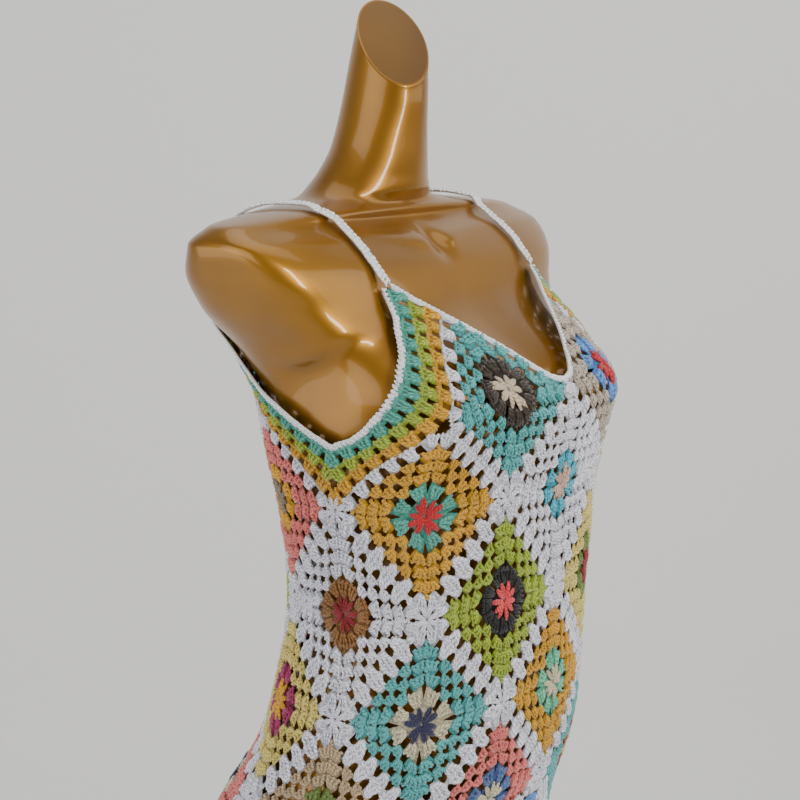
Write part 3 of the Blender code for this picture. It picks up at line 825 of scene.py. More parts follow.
def face_outward(mesh, crisp=None):
    """Turns every face outwards, and makes the edges crisp that bend by more than an angle."""
    shell = bmesh.new()
    shell.from_mesh(mesh)
    bmesh.ops.recalc_face_normals(shell, faces=shell.faces)
    for edge in shell.edges:
        if crisp and edge.calc_face_angle(0) > crisp:
            edge.smooth = False
    shell.to_mesh(mesh)
    shell.free()


def ring_faces(count, sides):
    """The faces between rings of points that follow each other."""
    faces = []
    for low in range(0, (count - 1) * sides, sides):
        for k in range(sides):
            n, high = (k + 1) % sides, low + sides
            faces.append((low + k, high + k, high + n, low + n))
    return faces


def with_stumps(ring):
    """Sinks the form round the flat oval at each shoulder, so that the oval has a rim."""
    along, up = ring[:, 1] - STUMP_Y, ring[:, 2] - STUMP_Z
    wide = (along * math.cos(STUMP_TILT) - up * math.sin(STUMP_TILT)) / STUMP_WIDE
    tall = (along * math.sin(STUMP_TILT) + up * math.cos(STUMP_TILT)) / STUMP_TALL
    away = np.hypot(wide, tall)
    sunk = STUMP_RIM * eased(away, *STUMP_EDGE) * (1 - eased(away, *STUMP_BANK))
    sunk = sunk * eased(np.abs(ring[:, 0]), *STUMP_ACROSS) * (1 - eased(along, *STUMP_BEHIND))
    moved = ring.copy()
    moved[:, 0] -= np.sign(ring[:, 0]) * sunk
    return moved


def outline_rings():
    """Rings of the form from its flat lower end to the slanting cut of the neck."""
    angle = np.arange(SKIN_SIDES) * 2 * math.pi / SKIN_SIDES
    angle = angle + SIDE_CROWDING * np.sin(2 * angle)
    heights = [SKIN_RINGS[0][0]]
    for start, end, count in SKIN_RINGS:
        heights += list(np.linspace(start, end, count + 1)[1:])
    rings = []
    for height in heights:
        x, y = ring_points(form_reach, height, angle)
        slant = min(max((height - CUT_START) / (CUT_END - CUT_START), 0), 1)
        middle = float(smooth_through(POSTURE, 1, height))
        z = height + slant * slant * (CUT_RISE_BACK * (y - middle) + CUT_RISE_LEFT * x)
        rings.append(with_stumps(np.stack([x, y, z], axis=-1)))
    return rings


def form_skin(material):
    """The whole form, smooth enough for its gloss, with a flat underside and a crisp cut across the neck."""
    rings = outline_rings()
    top = rings[-1]
    middle = top.mean(axis=0)
    inset = 1 - NECK_RIM / FORM[-1][1]
    rings.append(middle + (top - middle) * inset + np.array([0, 0, NECK_RIM * NECK_RIM_RISE]))
    last = (len(rings) - 1) * SKIN_SIDES
    faces = [(a, d, c, b) for a, b, c, d in ring_faces(len(rings), SKIN_SIDES)]
    faces += [tuple(reversed(range(SKIN_SIDES))), tuple(range(last, last + SKIN_SIDES))]
    skin = add_mesh("form_skin", np.concatenate(rings), faces, material)
    face_outward(skin.data, CRISP)
    # Painted shade on the cut across the neck; the same value also thins its clear coat.
    full, thin = (1.0, 1.0, 1.0, 1.0), (CUT_PAINTED_SHADE, CUT_PAINTED_SHADE, CUT_PAINTED_SHADE, 1.0)
    is_cut = [face.loop_total > 4 and face.center.z > CUT_START for face in skin.data.polygons]
    dye_faces(skin.data, [thin if cut else full for cut in is_cut], "lacquer")
    return skin


def band(name, line, across, normals, width, thick, colour, material):
    """A thin closed band under a row of small stitches."""
    rings = []
    for point, side, up in zip(line, across * width / 2, normals * thick / 2):
        rings.append([point - side - up, point + side - up, point + side + up, point - side + up])
    last = (len(rings) - 1) * 4
    faces = ring_faces(len(rings), 4) + [(0, 1, 2, 3), (last + 3, last + 2, last + 1, last)]
    made = add_mesh(name, np.concatenate(rings), faces, material)
    face_outward(made.data)
    dye_faces(made.data, [colour] * len(made.data.polygons))
    return made


def joined(name, parts, material):
    """One piece of one material, made of several meshes."""
    whole = bmesh.new()
    for part in parts:
        whole.from_mesh(part.data)
    mesh = parts[0].data.copy()
    whole.to_mesh(mesh)
    whole.free()
    for part in parts:
        bpy.data.objects.remove(part, do_unlink=True)
    mesh.name = name
    mesh.materials.clear()
    mesh.materials.append(material)
    mesh.polygons.foreach_set("material_index", [0] * len(mesh.polygons))
    return show(bpy.data.objects.new(name, mesh))


# Stitches as they are drawn, in parts of a square's side ------------------------------------------------------


def tube(points, radii, sides=4):
    """A closed strand through points, with its faces and how far along and round it each corner lies."""
    points = np.array(points, float)
    along = unit(np.gradient(points, axis=0))
    flat = np.cross(along, [0, 0, 1.0])
    flat = unit(np.where(np.linalg.norm(flat, axis=-1, keepdims=True) > 1e-6, flat, [1.0, 0, 0]))
    raised = np.cross(flat, along)
    turn = np.arange(sides) * 2 * math.pi / sides
    rings = [
        points[k] + radii[k] * (np.cos(turn)[:, None] * flat[k] + np.sin(turn)[:, None] * raised[k])
        for k in range(len(points))
    ]
    length = lengths_along(points) * TWIST_SCALE
    marks = []
    for start, end in zip(length[:-1], length[1:]):
        for i in range(sides):
            here, there = i / sides, (i + 1) / sides
            marks.append([(here, start), (here, end), (there, end), (there, start)])
    marks.append([(i / sides, length[0]) for i in range(sides)])
    marks.append([(i / sides, length[-1]) for i in reversed(range(sides))])
    last = (len(points) - 1) * sides
    faces = ring_faces(len(points), sides)
    faces += [tuple(range(sides)), tuple(last + i for i in reversed(range(sides)))]
    return np.concatenate(rings), faces, marks


def cluster_strands(seed):
    """Three tall stitches that share one foot, and the loops along their heads."""
    wobble = np.random.default_rng(seed)
    strands = []
    for side in (-1, 0, 1):
        shift = wobble.uniform(-0.004, 0.004, 4)
        foot = (side * 0.009 + shift[0], -0.044, -0.003)
        head = (side * 0.039 + shift[1], 0.030 + shift[2], 0.003)
        path = []
        for t, sway in ((0.0, 0.0), (0.33, -0.005), (0.68, 0.004), (1.0, 0.0)):
            x = foot[0] + (head[0] - foot[0]) * t + sway
            y = foot[1] + (head[1] - foot[1]) * t
            path.append((x, y, foot[2] + (head[2] - foot[2]) * t + 0.010 * math.sin(math.pi * t)))
        strands.append((path, (0.0095, 0.0165, 0.0135, 0.0150)))
    heads = []
    for k, x in enumerate((-0.058, -0.039, -0.020, 0.0, 0.020, 0.039, 0.058)):
        bulge = 0.006 if k % 2 else -0.004
        heads.append((x, 0.034 + bulge + wobble.uniform(-0.002, 0.002), 0.004 + bulge * 0.8))
    strands.append((heads, (0.008, 0.0130, 0.0095, 0.0135, 0.0095, 0.0130, 0.008)))
    return strands


def spoke_strands(seed):
    """One long loop of the star: two strands side by side."""
    wobble = np.random.default_rng(seed)
    strands = []
    for side in (-1, 1):
        lift = wobble.uniform(-0.002, 0.002)
        path = [
            (side * 0.002, 0.010, 0.002),
            (side * 0.006, 0.045, 0.015 + lift),
            (side * 0.010, 0.092, 0.016 + lift),
            (side * 0.004, 0.134, 0.008),
        ]
        strands.append((path, (0.0070, 0.0110, 0.0130, 0.0080)))
    return strands


def edge_strands(seed):
    """One small stitch of the edging: a slanting leg, and the loop that lies along the edge."""
    lift = np.random.default_rng(seed).uniform(-0.002, 0.002)
    leg = [(-0.012, -0.024, 0.0), (-0.006, -0.008, 0.005 + lift), (0.004, 0.008, 0.005), (0.010, 0.018, 0.001)]
    loop = [(-0.022, 0.014, 0.001), (-0.007, 0.019, 0.007), (0.009, 0.017, 0.006 + lift), (0.023, 0.011, 0.0)]
    return [(leg, (0.008, 0.0125, 0.0120, 0.008)), (loop, (0.006, 0.0105, 0.0105, 0.006))]


def template_folder(name, strands_of):
    """A hidden collection of three stitches of a kind, each drawn a little differently."""
    folder = bpy.data.collections.new(name)
    for seed in range(3):
        points, faces, marks = [], [], []
        for path, radii in strands_of(seed):
            more, sides, places = tube(path, radii)
            faces += [tuple(len(points) + i for i in face) for face in sides]
            marks += places
            points += list(more)
        made = add_mesh(f"{name}_{seed}", points, faces, None)
        layer = made.data.uv_layers.new(name="strand")
        layer.data.foreach_set("uv", np.array([place for corner in marks for place in corner]).ravel())
        bpy.context.scene.collection.objects.unlink(made)
        folder.objects.link(made)
    return folder


# Stitches in the chart ----------------------------------------------------------------------------------------


def new_stitches():
    return {"place": [], "turn": [], "size": [], "yarn": [], "variant": []}


def add_stitch(stitches, place, direction, size, colour, lean=0.0, shake=1.0):
    """Marks one stitch: direction is the way its head points in the chart."""
    shift = random_turns.uniform(-PLACE_SHAKE, PLACE_SHAKE, 2) * shake
    stitches["place"].append((place[0] + shift[0], place[1] + shift[1], 0.0))
    turn = math.atan2(direction[1], direction[0]) - math.pi / 2 + lean
    stitches["turn"].append(turn + random_turns.uniform(-TURN_SHAKE, TURN_SHAKE) * shake)
    grown = random_turns.uniform(*SIZE_SHAKE)
    stitches["size"].append((size[0] * grown, size[1] * grown, random_turns.uniform(*HEIGHT_SHAKE)))
    light = random_turns.uniform(*LIGHT_SHAKE)
    stitches["yarn"].append(tuple(c * light for c in colour[:3]) + (1.0,))
    stitches["variant"].append(int(random_turns.integers(0, 3)))


def squares_of(is_front):
    return [(column, row) for column, row in SQUARES if (column >= -0.5) == is_front]


def quarter_of(column, is_front):
    """The quarter in which a square of row zero lies."""
    return ("front_" if is_front else "back_") + ("right" if column in (2, -2) else "left")


def round_edges(k):
    return ROUND_EDGES[k - 2], ROUND_EDGES[k - 1]


def square_dyes(key):
    """Colours of rounds 1 to 6."""
    outer, ring, star = (linear(YARNS[name]) for name in SQUARES[key])
    return {1: star, 2: ring, 3: outer, 4: outer, 5: outer, 6: linear(YARNS["white"])}


def turned(x, y, side):
    """A place from a square's centre: x runs along the side of the square and y runs out of it."""
    dx, dy = SIDES[side]
    return (dx * y + dy * x, dy * y - dx * x)


def corner_knots(key):
    """Corners where four squares meet. Each is worked with one of the four."""
    column, row = key
    knots = [(0.5, 0.5)] if row < LAST_ROW - 1 else []
    return knots + ([(-0.5, -0.5)] if row == 2 and column % 6 == 0 else [])


def square_stitches(marks, centre, key, move=None, keep=None):
    """All stitches of one square. move bends a place within the square; keep says whether it is there at all."""
    clusters, chains, spokes = marks
    dyes = square_dyes(key)

    def put(kind, x, y, side, direction, size, colour, lean=0.0):
        place = turned(x, y, side)
        if move:
            place, size = move(place, side, size)
        at = (centre[0] + place[0], centre[1] + place[1])
        if keep is None or keep(at):
            add_stitch(kind, at, direction, size, colour, lean=lean)

    count, wide = RING_DENSE if SQUARES[key][1] in DENSE_DYES else RING_OPEN
    for j in range(count):
        turn = (j + 0.5) * 2 * math.pi / count
        side = round(turn / (math.pi / 2)) % 4
        off = turn - side * math.pi / 2
        x, y = -RING_RADIUS * math.sin(off), RING_RADIUS * math.cos(off)
        put(clusters, x, y, side, (math.cos(turn), math.sin(turn)), (wide, RING_TALL), dyes[2])
    for side, direction in enumerate(SIDES):
        for k in ROUNDS[1:]:
            low, high = round_edges(k)
            wide, (swell, leaning, shift) = HEADS_APART, CORNER
            if k == LAST_ROUND:
                high -= SEAM_DEEP
                wide, (swell, leaning, shift) = HEADS_MEET, LAST_CORNER
            for j in range(k):
                corner = (j == k - 1) - (j == 0)
                x = (j - (k - 1) / 2) * CLUSTER_PITCH + shift * corner
                size = (wide + swell * abs(corner), (high - low) / CLUSTER_TALL)
                put(clusters, x, (low + high) / 2, side, direction, size, dyes[k], lean=-leaning * corner)
            if k < LAST_ROUND:
                tip = high - CHAIN_INSET
                put(chains, tip, tip, side, turned(1, 1, side), CHAIN_SIZE, dyes[k])
    for side, direction in enumerate(SIDES[:2]):  # the other two sides are joined by their neighbours
        for j in range(1, JOINS - 1):
            put(chains, (j + 0.5) / JOINS - 0.5, 0.5, side, direction, JOIN_SIZE, dyes[6])
    for x, y in corner_knots(key):
        for j in range(KNOT_SPOKES):
            turn = (j + 0.5) * 2 * math.pi / KNOT_SPOKES
            way = (math.cos(turn), math.sin(turn))
            add_stitch(spokes, (centre[0] + x, centre[1] + y), way, KNOT_SIZE, dyes[6], shake=0.6)
    first = random_turns.uniform(0, 1)
    for j in range(SPOKES):
        turn = (j + first + random_turns.uniform(-0.2, 0.2)) * 2 * math.pi / SPOKES
        long = random_turns.uniform(0.86, 1.12)
        add_stitch(spokes, centre, (math.cos(turn), math.sin(turn)), (1.0, long), dyes[1], shake=0.6)


def cup_stitches(marks, quarter, key):
    """The square under the neckline, drawn up to it: its rounds beyond the neckline are left out."""

    def move(place, side, size):
        if place[1] >= 0:
            return place, size
        wide, tall = size
        size = (wide, tall * NECK_STRETCH) if side == 3 else (wide * CUP_SWELL, tall)
        return (place[0], place[1] * NECK_STRETCH), size

    def keep(at):
        return at[1] > float(neckline_up(at[0])) + NECK_ROOM

    made = [new_stitches() for _ in marks]
    square_stitches(made, (1.0, -1.0), key, move, keep)
    for source, target in zip(made, marks):
        for place, turn in zip(source["place"], source["turn"]):
            turn += math.pi / 2
            way = along_quarter((math.cos(turn), math.sin(turn)), quarter)
            moved = in_quarter(place[:2], quarter)
            target["place"].append((moved[0], moved[1], 0.0))
            target["turn"].append(math.atan2(way[1], way[0]) - math.pi / 2)
        for name in ("size", "yarn", "variant"):
            target[name] += source[name]


def stripe_stitches(clusters, quarter):
    """Three rows of clusters that follow the armhole, worked outwards from the squares."""
    is_front = QUARTERS[quarter][2]
    for k, name in enumerate(STRIPES):
        share = 1 - (k + 0.5) / len(STRIPES)
        top, bottom, _, ups = stripe_marks(k, is_front)
        for up in ups:
            up = min(max(up, top + STRIPE_ROOM[0]), bottom - STRIPE_ROOM[1])
            across = float(stripe_across(share, up, is_front))
            step = float(stripe_across(share, up + 0.05, is_front)) - across
            deep = float(stripe_across(1, up, is_front) - stripe_across(0, up, is_front)) / len(STRIPES)
            way = along_quarter((-0.05, step), quarter)
            place = in_quarter((across, up), quarter)
            add_stitch(clusters, place, way, (1.0, deep / CLUSTER_TALL), linear(YARNS[name]))


def neck_route(is_front):
    """Lattice points along one half of a neckline, and back along the other half."""
    across = np.linspace(NECKLINE[0][0], NECKLINE[-1][0], ROUTE_STEPS)
    column, row = to_lattice(np.stack([across, neckline_up(across)], axis=-1))
    half = list(zip(column if is_front else -column, row))
    centre = FRONT_COLUMN if is_front else BACK_COLUMN - COLUMNS
    return half + [(2 * centre - c, r) for c, r in half[-2::-1]]


def armhole_route(side):
    """Lattice points down the front of an armhole and up its back."""
    route = []
    for is_front in (True, False):
        up = np.linspace(float(neckline_up(NECKLINE[0][0])), ARMHOLE[-1][0], ROUTE_STEPS)
        half = list(zip(*to_lattice(np.stack([stripe_across(0, up, is_front), up], axis=-1))))
        route += half if is_front else [(-c, r) for c, r in half[-2::-1]]
    return [(c, r) if side < 0 else (2 * FRONT_COLUMN - c, r) for c, r in route]


def edge_line(route, inward, pitch):
    """Columns and rows at equal steps along an edge, and the way out of the cloth, away from the place inward."""
    route = np.array(route, float)
    fine = np.linspace(0, len(route) - 1, 20 * len(route))
    column, row = (np.interp(fine, np.arange(len(route)), route[:, k]) for k in (0, 1))
    points = fabric(column, row)
    length = lengths_along(points)
    count = int(length[-1] / pitch)
    at = (np.arange(count) + 0.5) * length[-1] / count
    column, row = np.interp(at, length, column), np.interp(at, length, row)
    points = np.stack([np.interp(at, length, points[:, k]) for k in range(3)], axis=-1)
    out = unit(np.cross(unit(np.gradient(points, axis=0)), fabric_normal(column, row)))
    half = len(column) // 2
    away = fabric(column[half], row[half]) - fabric(*inward)
    return column, row, -out if np.dot(out[half], away) < 0 else out


def edge_stitches(route, inward, colour):
    """Small stitches that lie side by side beyond the cloth's edge."""
    column, row, out = edge_line(route, inward, EDGE_PITCH * SIDE)
    stitches = new_stitches()
    places = to_chart(*moved_along(column, row, out * (EDGE_GAP + EDGE_WIDTH * EDGE_SEAT)))
    heads = to_chart(*moved_along(column, row, out * EDGE_WIDTH))
    for place, head in zip(places, heads):
        add_stitch(stitches, place, head - place, EDGE_SIZE, colour, shake=0.5)
    return stitches


def edging_band(name, route, inward, colour, material):
    column, row, out = edge_line(route, inward, BAND_STEP)
    places = moved_along(column, row, out * EDGE_WIDTH / 2)
    width, thick = EDGE_WIDTH * EDGE_BAND[0], EDGE_BAND[1]
    return band(name, fabric(*places), out, fabric_normal(*places), width, thick, colour, material)


def strap_stitches(side, length, colour):
    """A strap is two rows of small stitches whose loops lie along its two edges."""
    stitches = new_stitches()
    whole = length + 2 * STRAP_SEWN
    count = int(whole / (EDGE_PITCH * SIDE))
    for k in range(count):
        for way in (-1, 1):
            along = (k + 0.5 + 0.25 * way) * whole / count - STRAP_SEWN
            beyond = max(-along, along - length, 0) / STRAP_SEWN
            place = (STRAP_PLACE[side] + along / SIDE, way * STRAP_ROW * (1 - STRAP_TAPER[0] * beyond))
            size = (1.0, STRAP_STITCH * (1 - STRAP_TAPER[1] * beyond))
            add_stitch(stitches, place, (0, way), size, colour, shake=0.5)
    return stitches


# The guide that bends the chart onto the dress ----------------------------------------------------------------


def guide_grid(points, normals, chart, guide):
    rows, columns = points.shape[:2]
    start = sum(len(part) for part in guide["points"])
    for r in range(rows - 1):
        for c in range(columns - 1):
            a, b = start + r * columns + c, start + (r + 1) * columns + c
            guide["faces"].append((a, b, b + 1, a + 1))
    guide["points"].append(points.reshape(-1, 3))
    guide["normals"].append(normals.reshape(-1, 3))
    guide["chart"].append(chart.reshape(-1, 2))


def strap_line(side, form):
    """The strap's line from the front corner over the shoulder to the back corner, drawn taut over the form."""
    column, row = to_lattice(NECKLINE[0])
    front, back = Vector(fabric(column, row)), Vector(fabric(-column, row))
    pivot = Vector((-STRAP_TOP_X, float(smooth_through(POSTURE, 1, 1.30)), STRAP_PIVOT))
    start = math.atan2(front.z - pivot.z, front.y - pivot.y)
    end = math.atan2(back.z - pivot.z, back.y - pivot.y)
    start = start if start > 0 else start + 2 * math.pi
    points = []
    for k in range(STRAP_STEPS + 1):
        t = STRAP_START + (1 - 2 * STRAP_START) * k / STRAP_STEPS
        turn = start + (end - start) * t
        x = front.x + (back.x - front.x) * t
        x += (-STRAP_TOP_X - x) * math.sin(math.pi * t) ** 2
        away = Vector((0, math.cos(turn), math.sin(turn)))
        source = Vector((x, pivot.y, pivot.z)) + away * 0.5
        hit, normal, _, _ = form.ray_cast(source, -away)
        points.append(hit + normal * CLOTH_CLEARANCE)
    lift = STRAP_CLEARANCE + STRAP_THICK / 2
    for _ in range(TAUT_STEPS):
        for k in range(1, len(points) - 1):
            middle = (points[k - 1] + points[k + 1]) / 2
            moved = Vector((points[k].x, middle.y, middle.z))
            near, normal, _, _ = form.find_nearest(moved)
            moved += normal * max(lift - (moved - near).dot(normal), 0)
            points[k] = moved
    normals = [form.find_nearest(point)[1] for point in points]
    for _ in range(6):
        for k in range(1, len(points) - 1):
            normals[k] = (normals[k - 1] + normals[k] * 2 + normals[k + 1]).normalized()
    mirror = np.array([-side, 1.0, 1.0])
    return np.array(points) * mirror, unit(np.array(normals) * mirror)


def add_strap_to_guide(side, form, guide):
    line, normals = strap_line(side, form)
    before = line[0] + unit(line[0] - line[1]) * STRAP_SPARE
    after = line[-1] + unit(line[-1] - line[-2]) * STRAP_SPARE
    line = np.concatenate([[before], line, [after]])
    normals = np.concatenate([normals[:1], normals, normals[-1:]])
    along = unit(np.gradient(line, axis=0))
    across = unit(np.cross(along, normals))
    normals = unit(np.cross(across, along))
    length = lengths_along(line)
    length -= length[1]
    places = np.linspace(-1, 1, 5) * STRAP_WIDTH
    points = line[:, None, :] + across[:, None, :] * places[None, :, None]
    out = np.broadcast_to(normals[:, None, :], points.shape)
    chart = np.empty(points.shape[:2] + (2,))
    chart[..., 0] = STRAP_PLACE[side] + length[:, None] / SIDE
    chart[..., 1] = places[None, :] / SIDE
    guide_grid(points, out, chart, guide)
    return line[1:-1], across[1:-1], normals[1:-1], length[-2]


def build_guide(skin):
    """The dress and both straps as one thin surface that knows its place in the chart and its way out."""
    guide = {"points": [], "normals": [], "chart": [], "faces": []}
    column, row = np.meshgrid(GUIDE_COLUMNS, GUIDE_ROWS)
    guide_grid(fabric(column, row), fabric_normal(column, row), to_chart(column, row), guide)
    surface = BVHTree.FromObject(skin, bpy.context.evaluated_depsgraph_get())
    straps = {side: add_strap_to_guide(side, surface, guide) for side in (-1, 1)}
    made = add_mesh("guide", np.concatenate(guide["points"]), guide["faces"], None)
    corners = np.empty(len(made.data.loops), int)
    made.data.loops.foreach_get("vertex_index", corners)
    add_layer(made.data, "chart", "FLOAT2", "CORNER", np.concatenate(guide["chart"])[corners])
    add_layer(made.data, "outward", "FLOAT_VECTOR", "POINT", np.concatenate(guide["normals"]))
    return made, straps


def stitch_tree():
    """Puts a stitch on every mark of the chart, then bends the whole chart onto the guide."""
    given = {"Geometry": "Geometry", "Stitches": "Collection", "Guide": "Object"}
    given.update({"Side of a square": "Float", "Yarn": "Material"})
    tree, inside, outside = new_group("crochet stitches", "GeometryNodeTree", given, {"Geometry": "Geometry"})

    def first(kind, sockets=None, **settings):
        return node(tree, kind, sockets, **settings).outputs[0]

    def named(name, kind):
        made = node(tree, "GeometryNodeInputNamedAttribute", {"Name": name}, data_type=kind)
        return made.outputs["Attribute"]

    turn = first("ShaderNodeCombineXYZ", {"Z": named("turn", "FLOAT")})
    folder = {"Collection": inside["Stitches"], "Separate Children": True, "Reset Children": True}
    put = first("GeometryNodeInstanceOnPoints", {
        "Points": inside["Geometry"],
        "Instance": first("GeometryNodeCollectionInfo", folder),
        "Pick Instance": True,
        "Instance Index": named("variant", "INT"),
        "Rotation": first("FunctionNodeEulerToRotation", {0: turn}),
        "Scale": named("size", "FLOAT_VECTOR"),
    })
    real = first("GeometryNodeRealizeInstances", {0: put})
    surface = node(tree, "GeometryNodeObjectInfo", {"Object": inside["Guide"]}).outputs["Geometry"]
    position = first("GeometryNodeInputPosition")
    place = node(tree, "ShaderNodeSeparateXYZ", {0: position}).outputs
    flat = first("ShaderNodeCombineXYZ", {"X": place["X"], "Y": place["Y"]})

    def sampled(value):
        """What the guide carries at a stitch's place in the chart."""
        sockets = {"Mesh": surface, "Value": value, "Sample UV": flat}
        sockets["Source UV Map"] = named("chart", "FLOAT_VECTOR")
        return node(tree, "GeometryNodeSampleUVSurface", sockets, data_type="FLOAT_VECTOR").outputs["Value"]

    height = maths(tree, "MULTIPLY", place["Z"], inside["Side of a square"])
    outward = {0: sampled(named("outward", "FLOAT_VECTOR")), "Scale": height}
    lift = first("ShaderNodeVectorMath", outward, operation="SCALE")
    bent = first("ShaderNodeVectorMath", {0: sampled(position), 1: lift}, operation="ADD")
    moved = first("GeometryNodeSetPosition", {"Geometry": real, "Position": bent})
    flipped = first("GeometryNodeFlipFaces", {"Mesh": moved})
    finish = {"Geometry": flipped, "Material": inside["Yarn"]}
    feed(tree, outside, {"Geometry": first("GeometryNodeSetMaterial", finish)})
    return tree


def work_stitches(name, stitches, folder, tree, guide, yarn):
    """Crochets the marked stitches into one plain mesh."""
    marks = add_mesh("marks", stitches["place"], [], None)
    for key, kind in (("turn", "FLOAT"), ("variant", "INT"), ("size", "FLOAT_VECTOR"), ("yarn", "FLOAT_COLOR")):
        add_layer(marks.data, key, kind, "POINT", stitches[key])
    modifier = marks.modifiers.new("stitches", "NODES")
    modifier.node_group = tree
    values = {"Stitches": folder, "Guide": guide, "Side of a square": SIDE, "Yarn": yarn}
    for item in tree.interface.items_tree:
        if item.in_out == "INPUT" and item.name in values:
            modifier[item.identifier] = values[item.name]
    graph = bpy.context.evaluated_depsgraph_get()
    made = bpy.data.meshes.new_from_object(marks.evaluated_get(graph))
    bpy.data.objects.remove(marks, do_unlink=True)
    made.name = name
    for key in ("turn", "variant", "size"):
        if key in made.attributes:
            made.attributes.remove(made.attributes[key])
    return show(bpy.data.objects.new(name, made))


# The ground behind the clusters -------------------------------------------------------------------------------


def square_net():
    """The net of one square, as faces of places from its centre, each with its round."""
    radius = ROUND_EDGES[0]
    faces = []
    for side in range(4):
        line = [turned(x, radius, side) for x in (-radius,) + STAR_NET + (radius,)]
        for start, end in zip(line, line[1:]):
            faces.append(([(0.0, 0.0), start, end], 2))
        for k in ROUNDS:
            low, high = round_edges(k)
            for j in range(k):
                x = (j - (k - 1) / 2) * CLUSTER_PITCH
                inner = [x - CLUSTER_HALF, x - CLUSTER_WAIST, x + CLUSTER_WAIST, x + CLUSTER_HALF]
                outer = list(inner)
                corner = high - (LAST_CORNER_OPEN if k == LAST_ROUND else CORNER_OPEN)
                if j == 0:
                    inner[0], outer[0] = -low, -corner
                if j == k - 1:
                    inner[3], outer[3] = low, corner
                belts = [(low, inner), (high, outer)]
                if k == LAST_ROUND:
                    up = low + (high - low) * SEAM_SHARE
                    belts.insert(1, (up, [a + (b - a) * SEAM_SHARE for a, b in zip(inner, outer)]))
                cells = []
                for (y0, x0), (y1, x1) in zip(belts, belts[1:]):
                    for i in range(3):
                        cells.append([(x0[i], y0), (x0[i + 1], y0), (x1[i + 1], y1), (x1[i], y1)])
                if k == LAST_ROUND and j < k - 1:
                    near, far = x + CLUSTER_HALF, x + CLUSTER_PITCH - CLUSTER_HALF
                    cells.append([(near, up), (far, up), (far, high), (near, high)])
                faces += [([turned(*place, side) for place in cell], k) for cell in cells]
    return faces


def stripe_net(is_front):
    """The net of the three striped rows of a quarter, as faces of chart places, each with its stripe."""

    def cell(inner, outer, low, high):
        places = []
        for share, up in ((inner, low), (inner, high), (outer, high), (outer, low)):
            first, last = stripe_span(share, is_front)
            up = min(max(up, first), last)
            places.append((float(stripe_across(share, up, is_front)), up))
        return places

    faces = []
    for k in range(len(STRIPES)):
        inner, outer = 1 - k / len(STRIPES), 1 - (k + 1) / len(STRIPES)
        top, bottom, count, ups = stripe_marks(k, is_front)
        for up in ups:
            edges = [up + share * (bottom - top) / count for share in STRIPE_EDGES]
            faces += [(cell(inner, outer, low, high), k) for low, high in zip(edges, edges[1:])]
        line = np.linspace(top, bottom, 4 * count + 1)
        faces += [(cell(outer, outer + STRIPE_BELT, low, high), k) for low, high in zip(line, line[1:])]
    return faces


def ground_faces(is_front):
    """All faces of a ground as chart places, each with its colour."""
    pattern = square_net()
    for column, row in squares_of(is_front):
        dyes = square_dyes((column, row))
        if row > 0:
            centre = to_chart(column, row)
            for places, k in pattern:
                yield [(centre[0] + x, centre[1] + y) for x, y in places], dyes[k]
            continue
        quarter = quarter_of(column, is_front)
        for places, k in pattern:
            chart = []
            for x, y in places:
                up = -1.0 + (y * NECK_STRETCH if y < 0 else y)
                chart.append(in_quarter((1.0 + x, max(up, float(neckline_up(1.0 + x)))), quarter))
            yield chart, dyes[k]
        for places, k in stripe_net(is_front):
            yield [in_quarter(place, quarter) for place in places], linear(YARNS[STRIPES[k]])


def net(name, is_front, material):
    """The ground of the front or the back, with the lace's real gaps left open."""
    points, faces, colours = {}, [], []
    for places, colour in ground_faces(is_front):
        corners = []
        for across, up in places:
            corners.append(points.setdefault((round(float(across), 4), round(float(up), 4)), len(points)))
        kept = [c for k, c in enumerate(corners) if c != corners[k - 1]]
        if len(set(kept)) == len(kept) and len(kept) > 2:
            faces.append(kept)
            colours.append(colour)
    column, row = to_lattice(list(points))
    placed, outward = fabric(column, row), fabric_normal(column, row)
    right, dyes = [], []
    for face, colour in zip(faces, colours):
        corners = placed[face]
        normal = np.cross(corners[1] - corners[0], corners[2] - corners[0])
        if len(face) == 4:
            normal = normal + np.cross(corners[2] - corners[0], corners[3] - corners[0])
        if np.linalg.norm(normal) < 1e-9:
            continue
        right.append(tuple(face) if np.dot(normal, outward[face[0]]) > 0 else tuple(reversed(face)))
        dyes.append(colour)
    made = add_mesh(name, placed, right, material)
    dye_faces(made.data, dyes)
    shell = bmesh.new()
    shell.from_mesh(made.data)
    bmesh.ops.delete(shell, geom=[v for v in shell.verts if not v.link_faces], context="VERTS")
    shell.to_mesh(made.data)
    shell.free()
    wall = made.modifiers.new("wall", "SOLIDIFY")
    wall.thickness = GROUND_THICK
    wall.offset = 0
    return made


# Camera and studio --------------------------------------------------------------------------------------------


def set_camera():
    """The photograph's angle: from the form's right front, a little from above."""
    ahead = CAMERA_AHEAD.normalized()
    right = (CAMERA_RIGHT - ahead * CAMERA_RIGHT.dot(ahead)).normalized()
    above = right.cross(ahead)
    lens = bpy.data.cameras.new("camera")
    lens.lens = CAMERA_LENS
    lens.sensor_width = 36
    lens.clip_start = 0.05
    camera = show(bpy.data.objects.new("camera", lens))
    place = Vector((0, 0, AIM_HEIGHT)) + right * AIM_SHIFT - ahead * CAMERA_DISTANCE
    camera.matrix_world = Matrix.Translation(place) @ Matrix((right, above, -ahead)).transposed().to_4x4()
    bpy.context.scene.camera = camera
    return [Vector((way.x, way.y, 0)).normalized() for way in (ahead, right)]


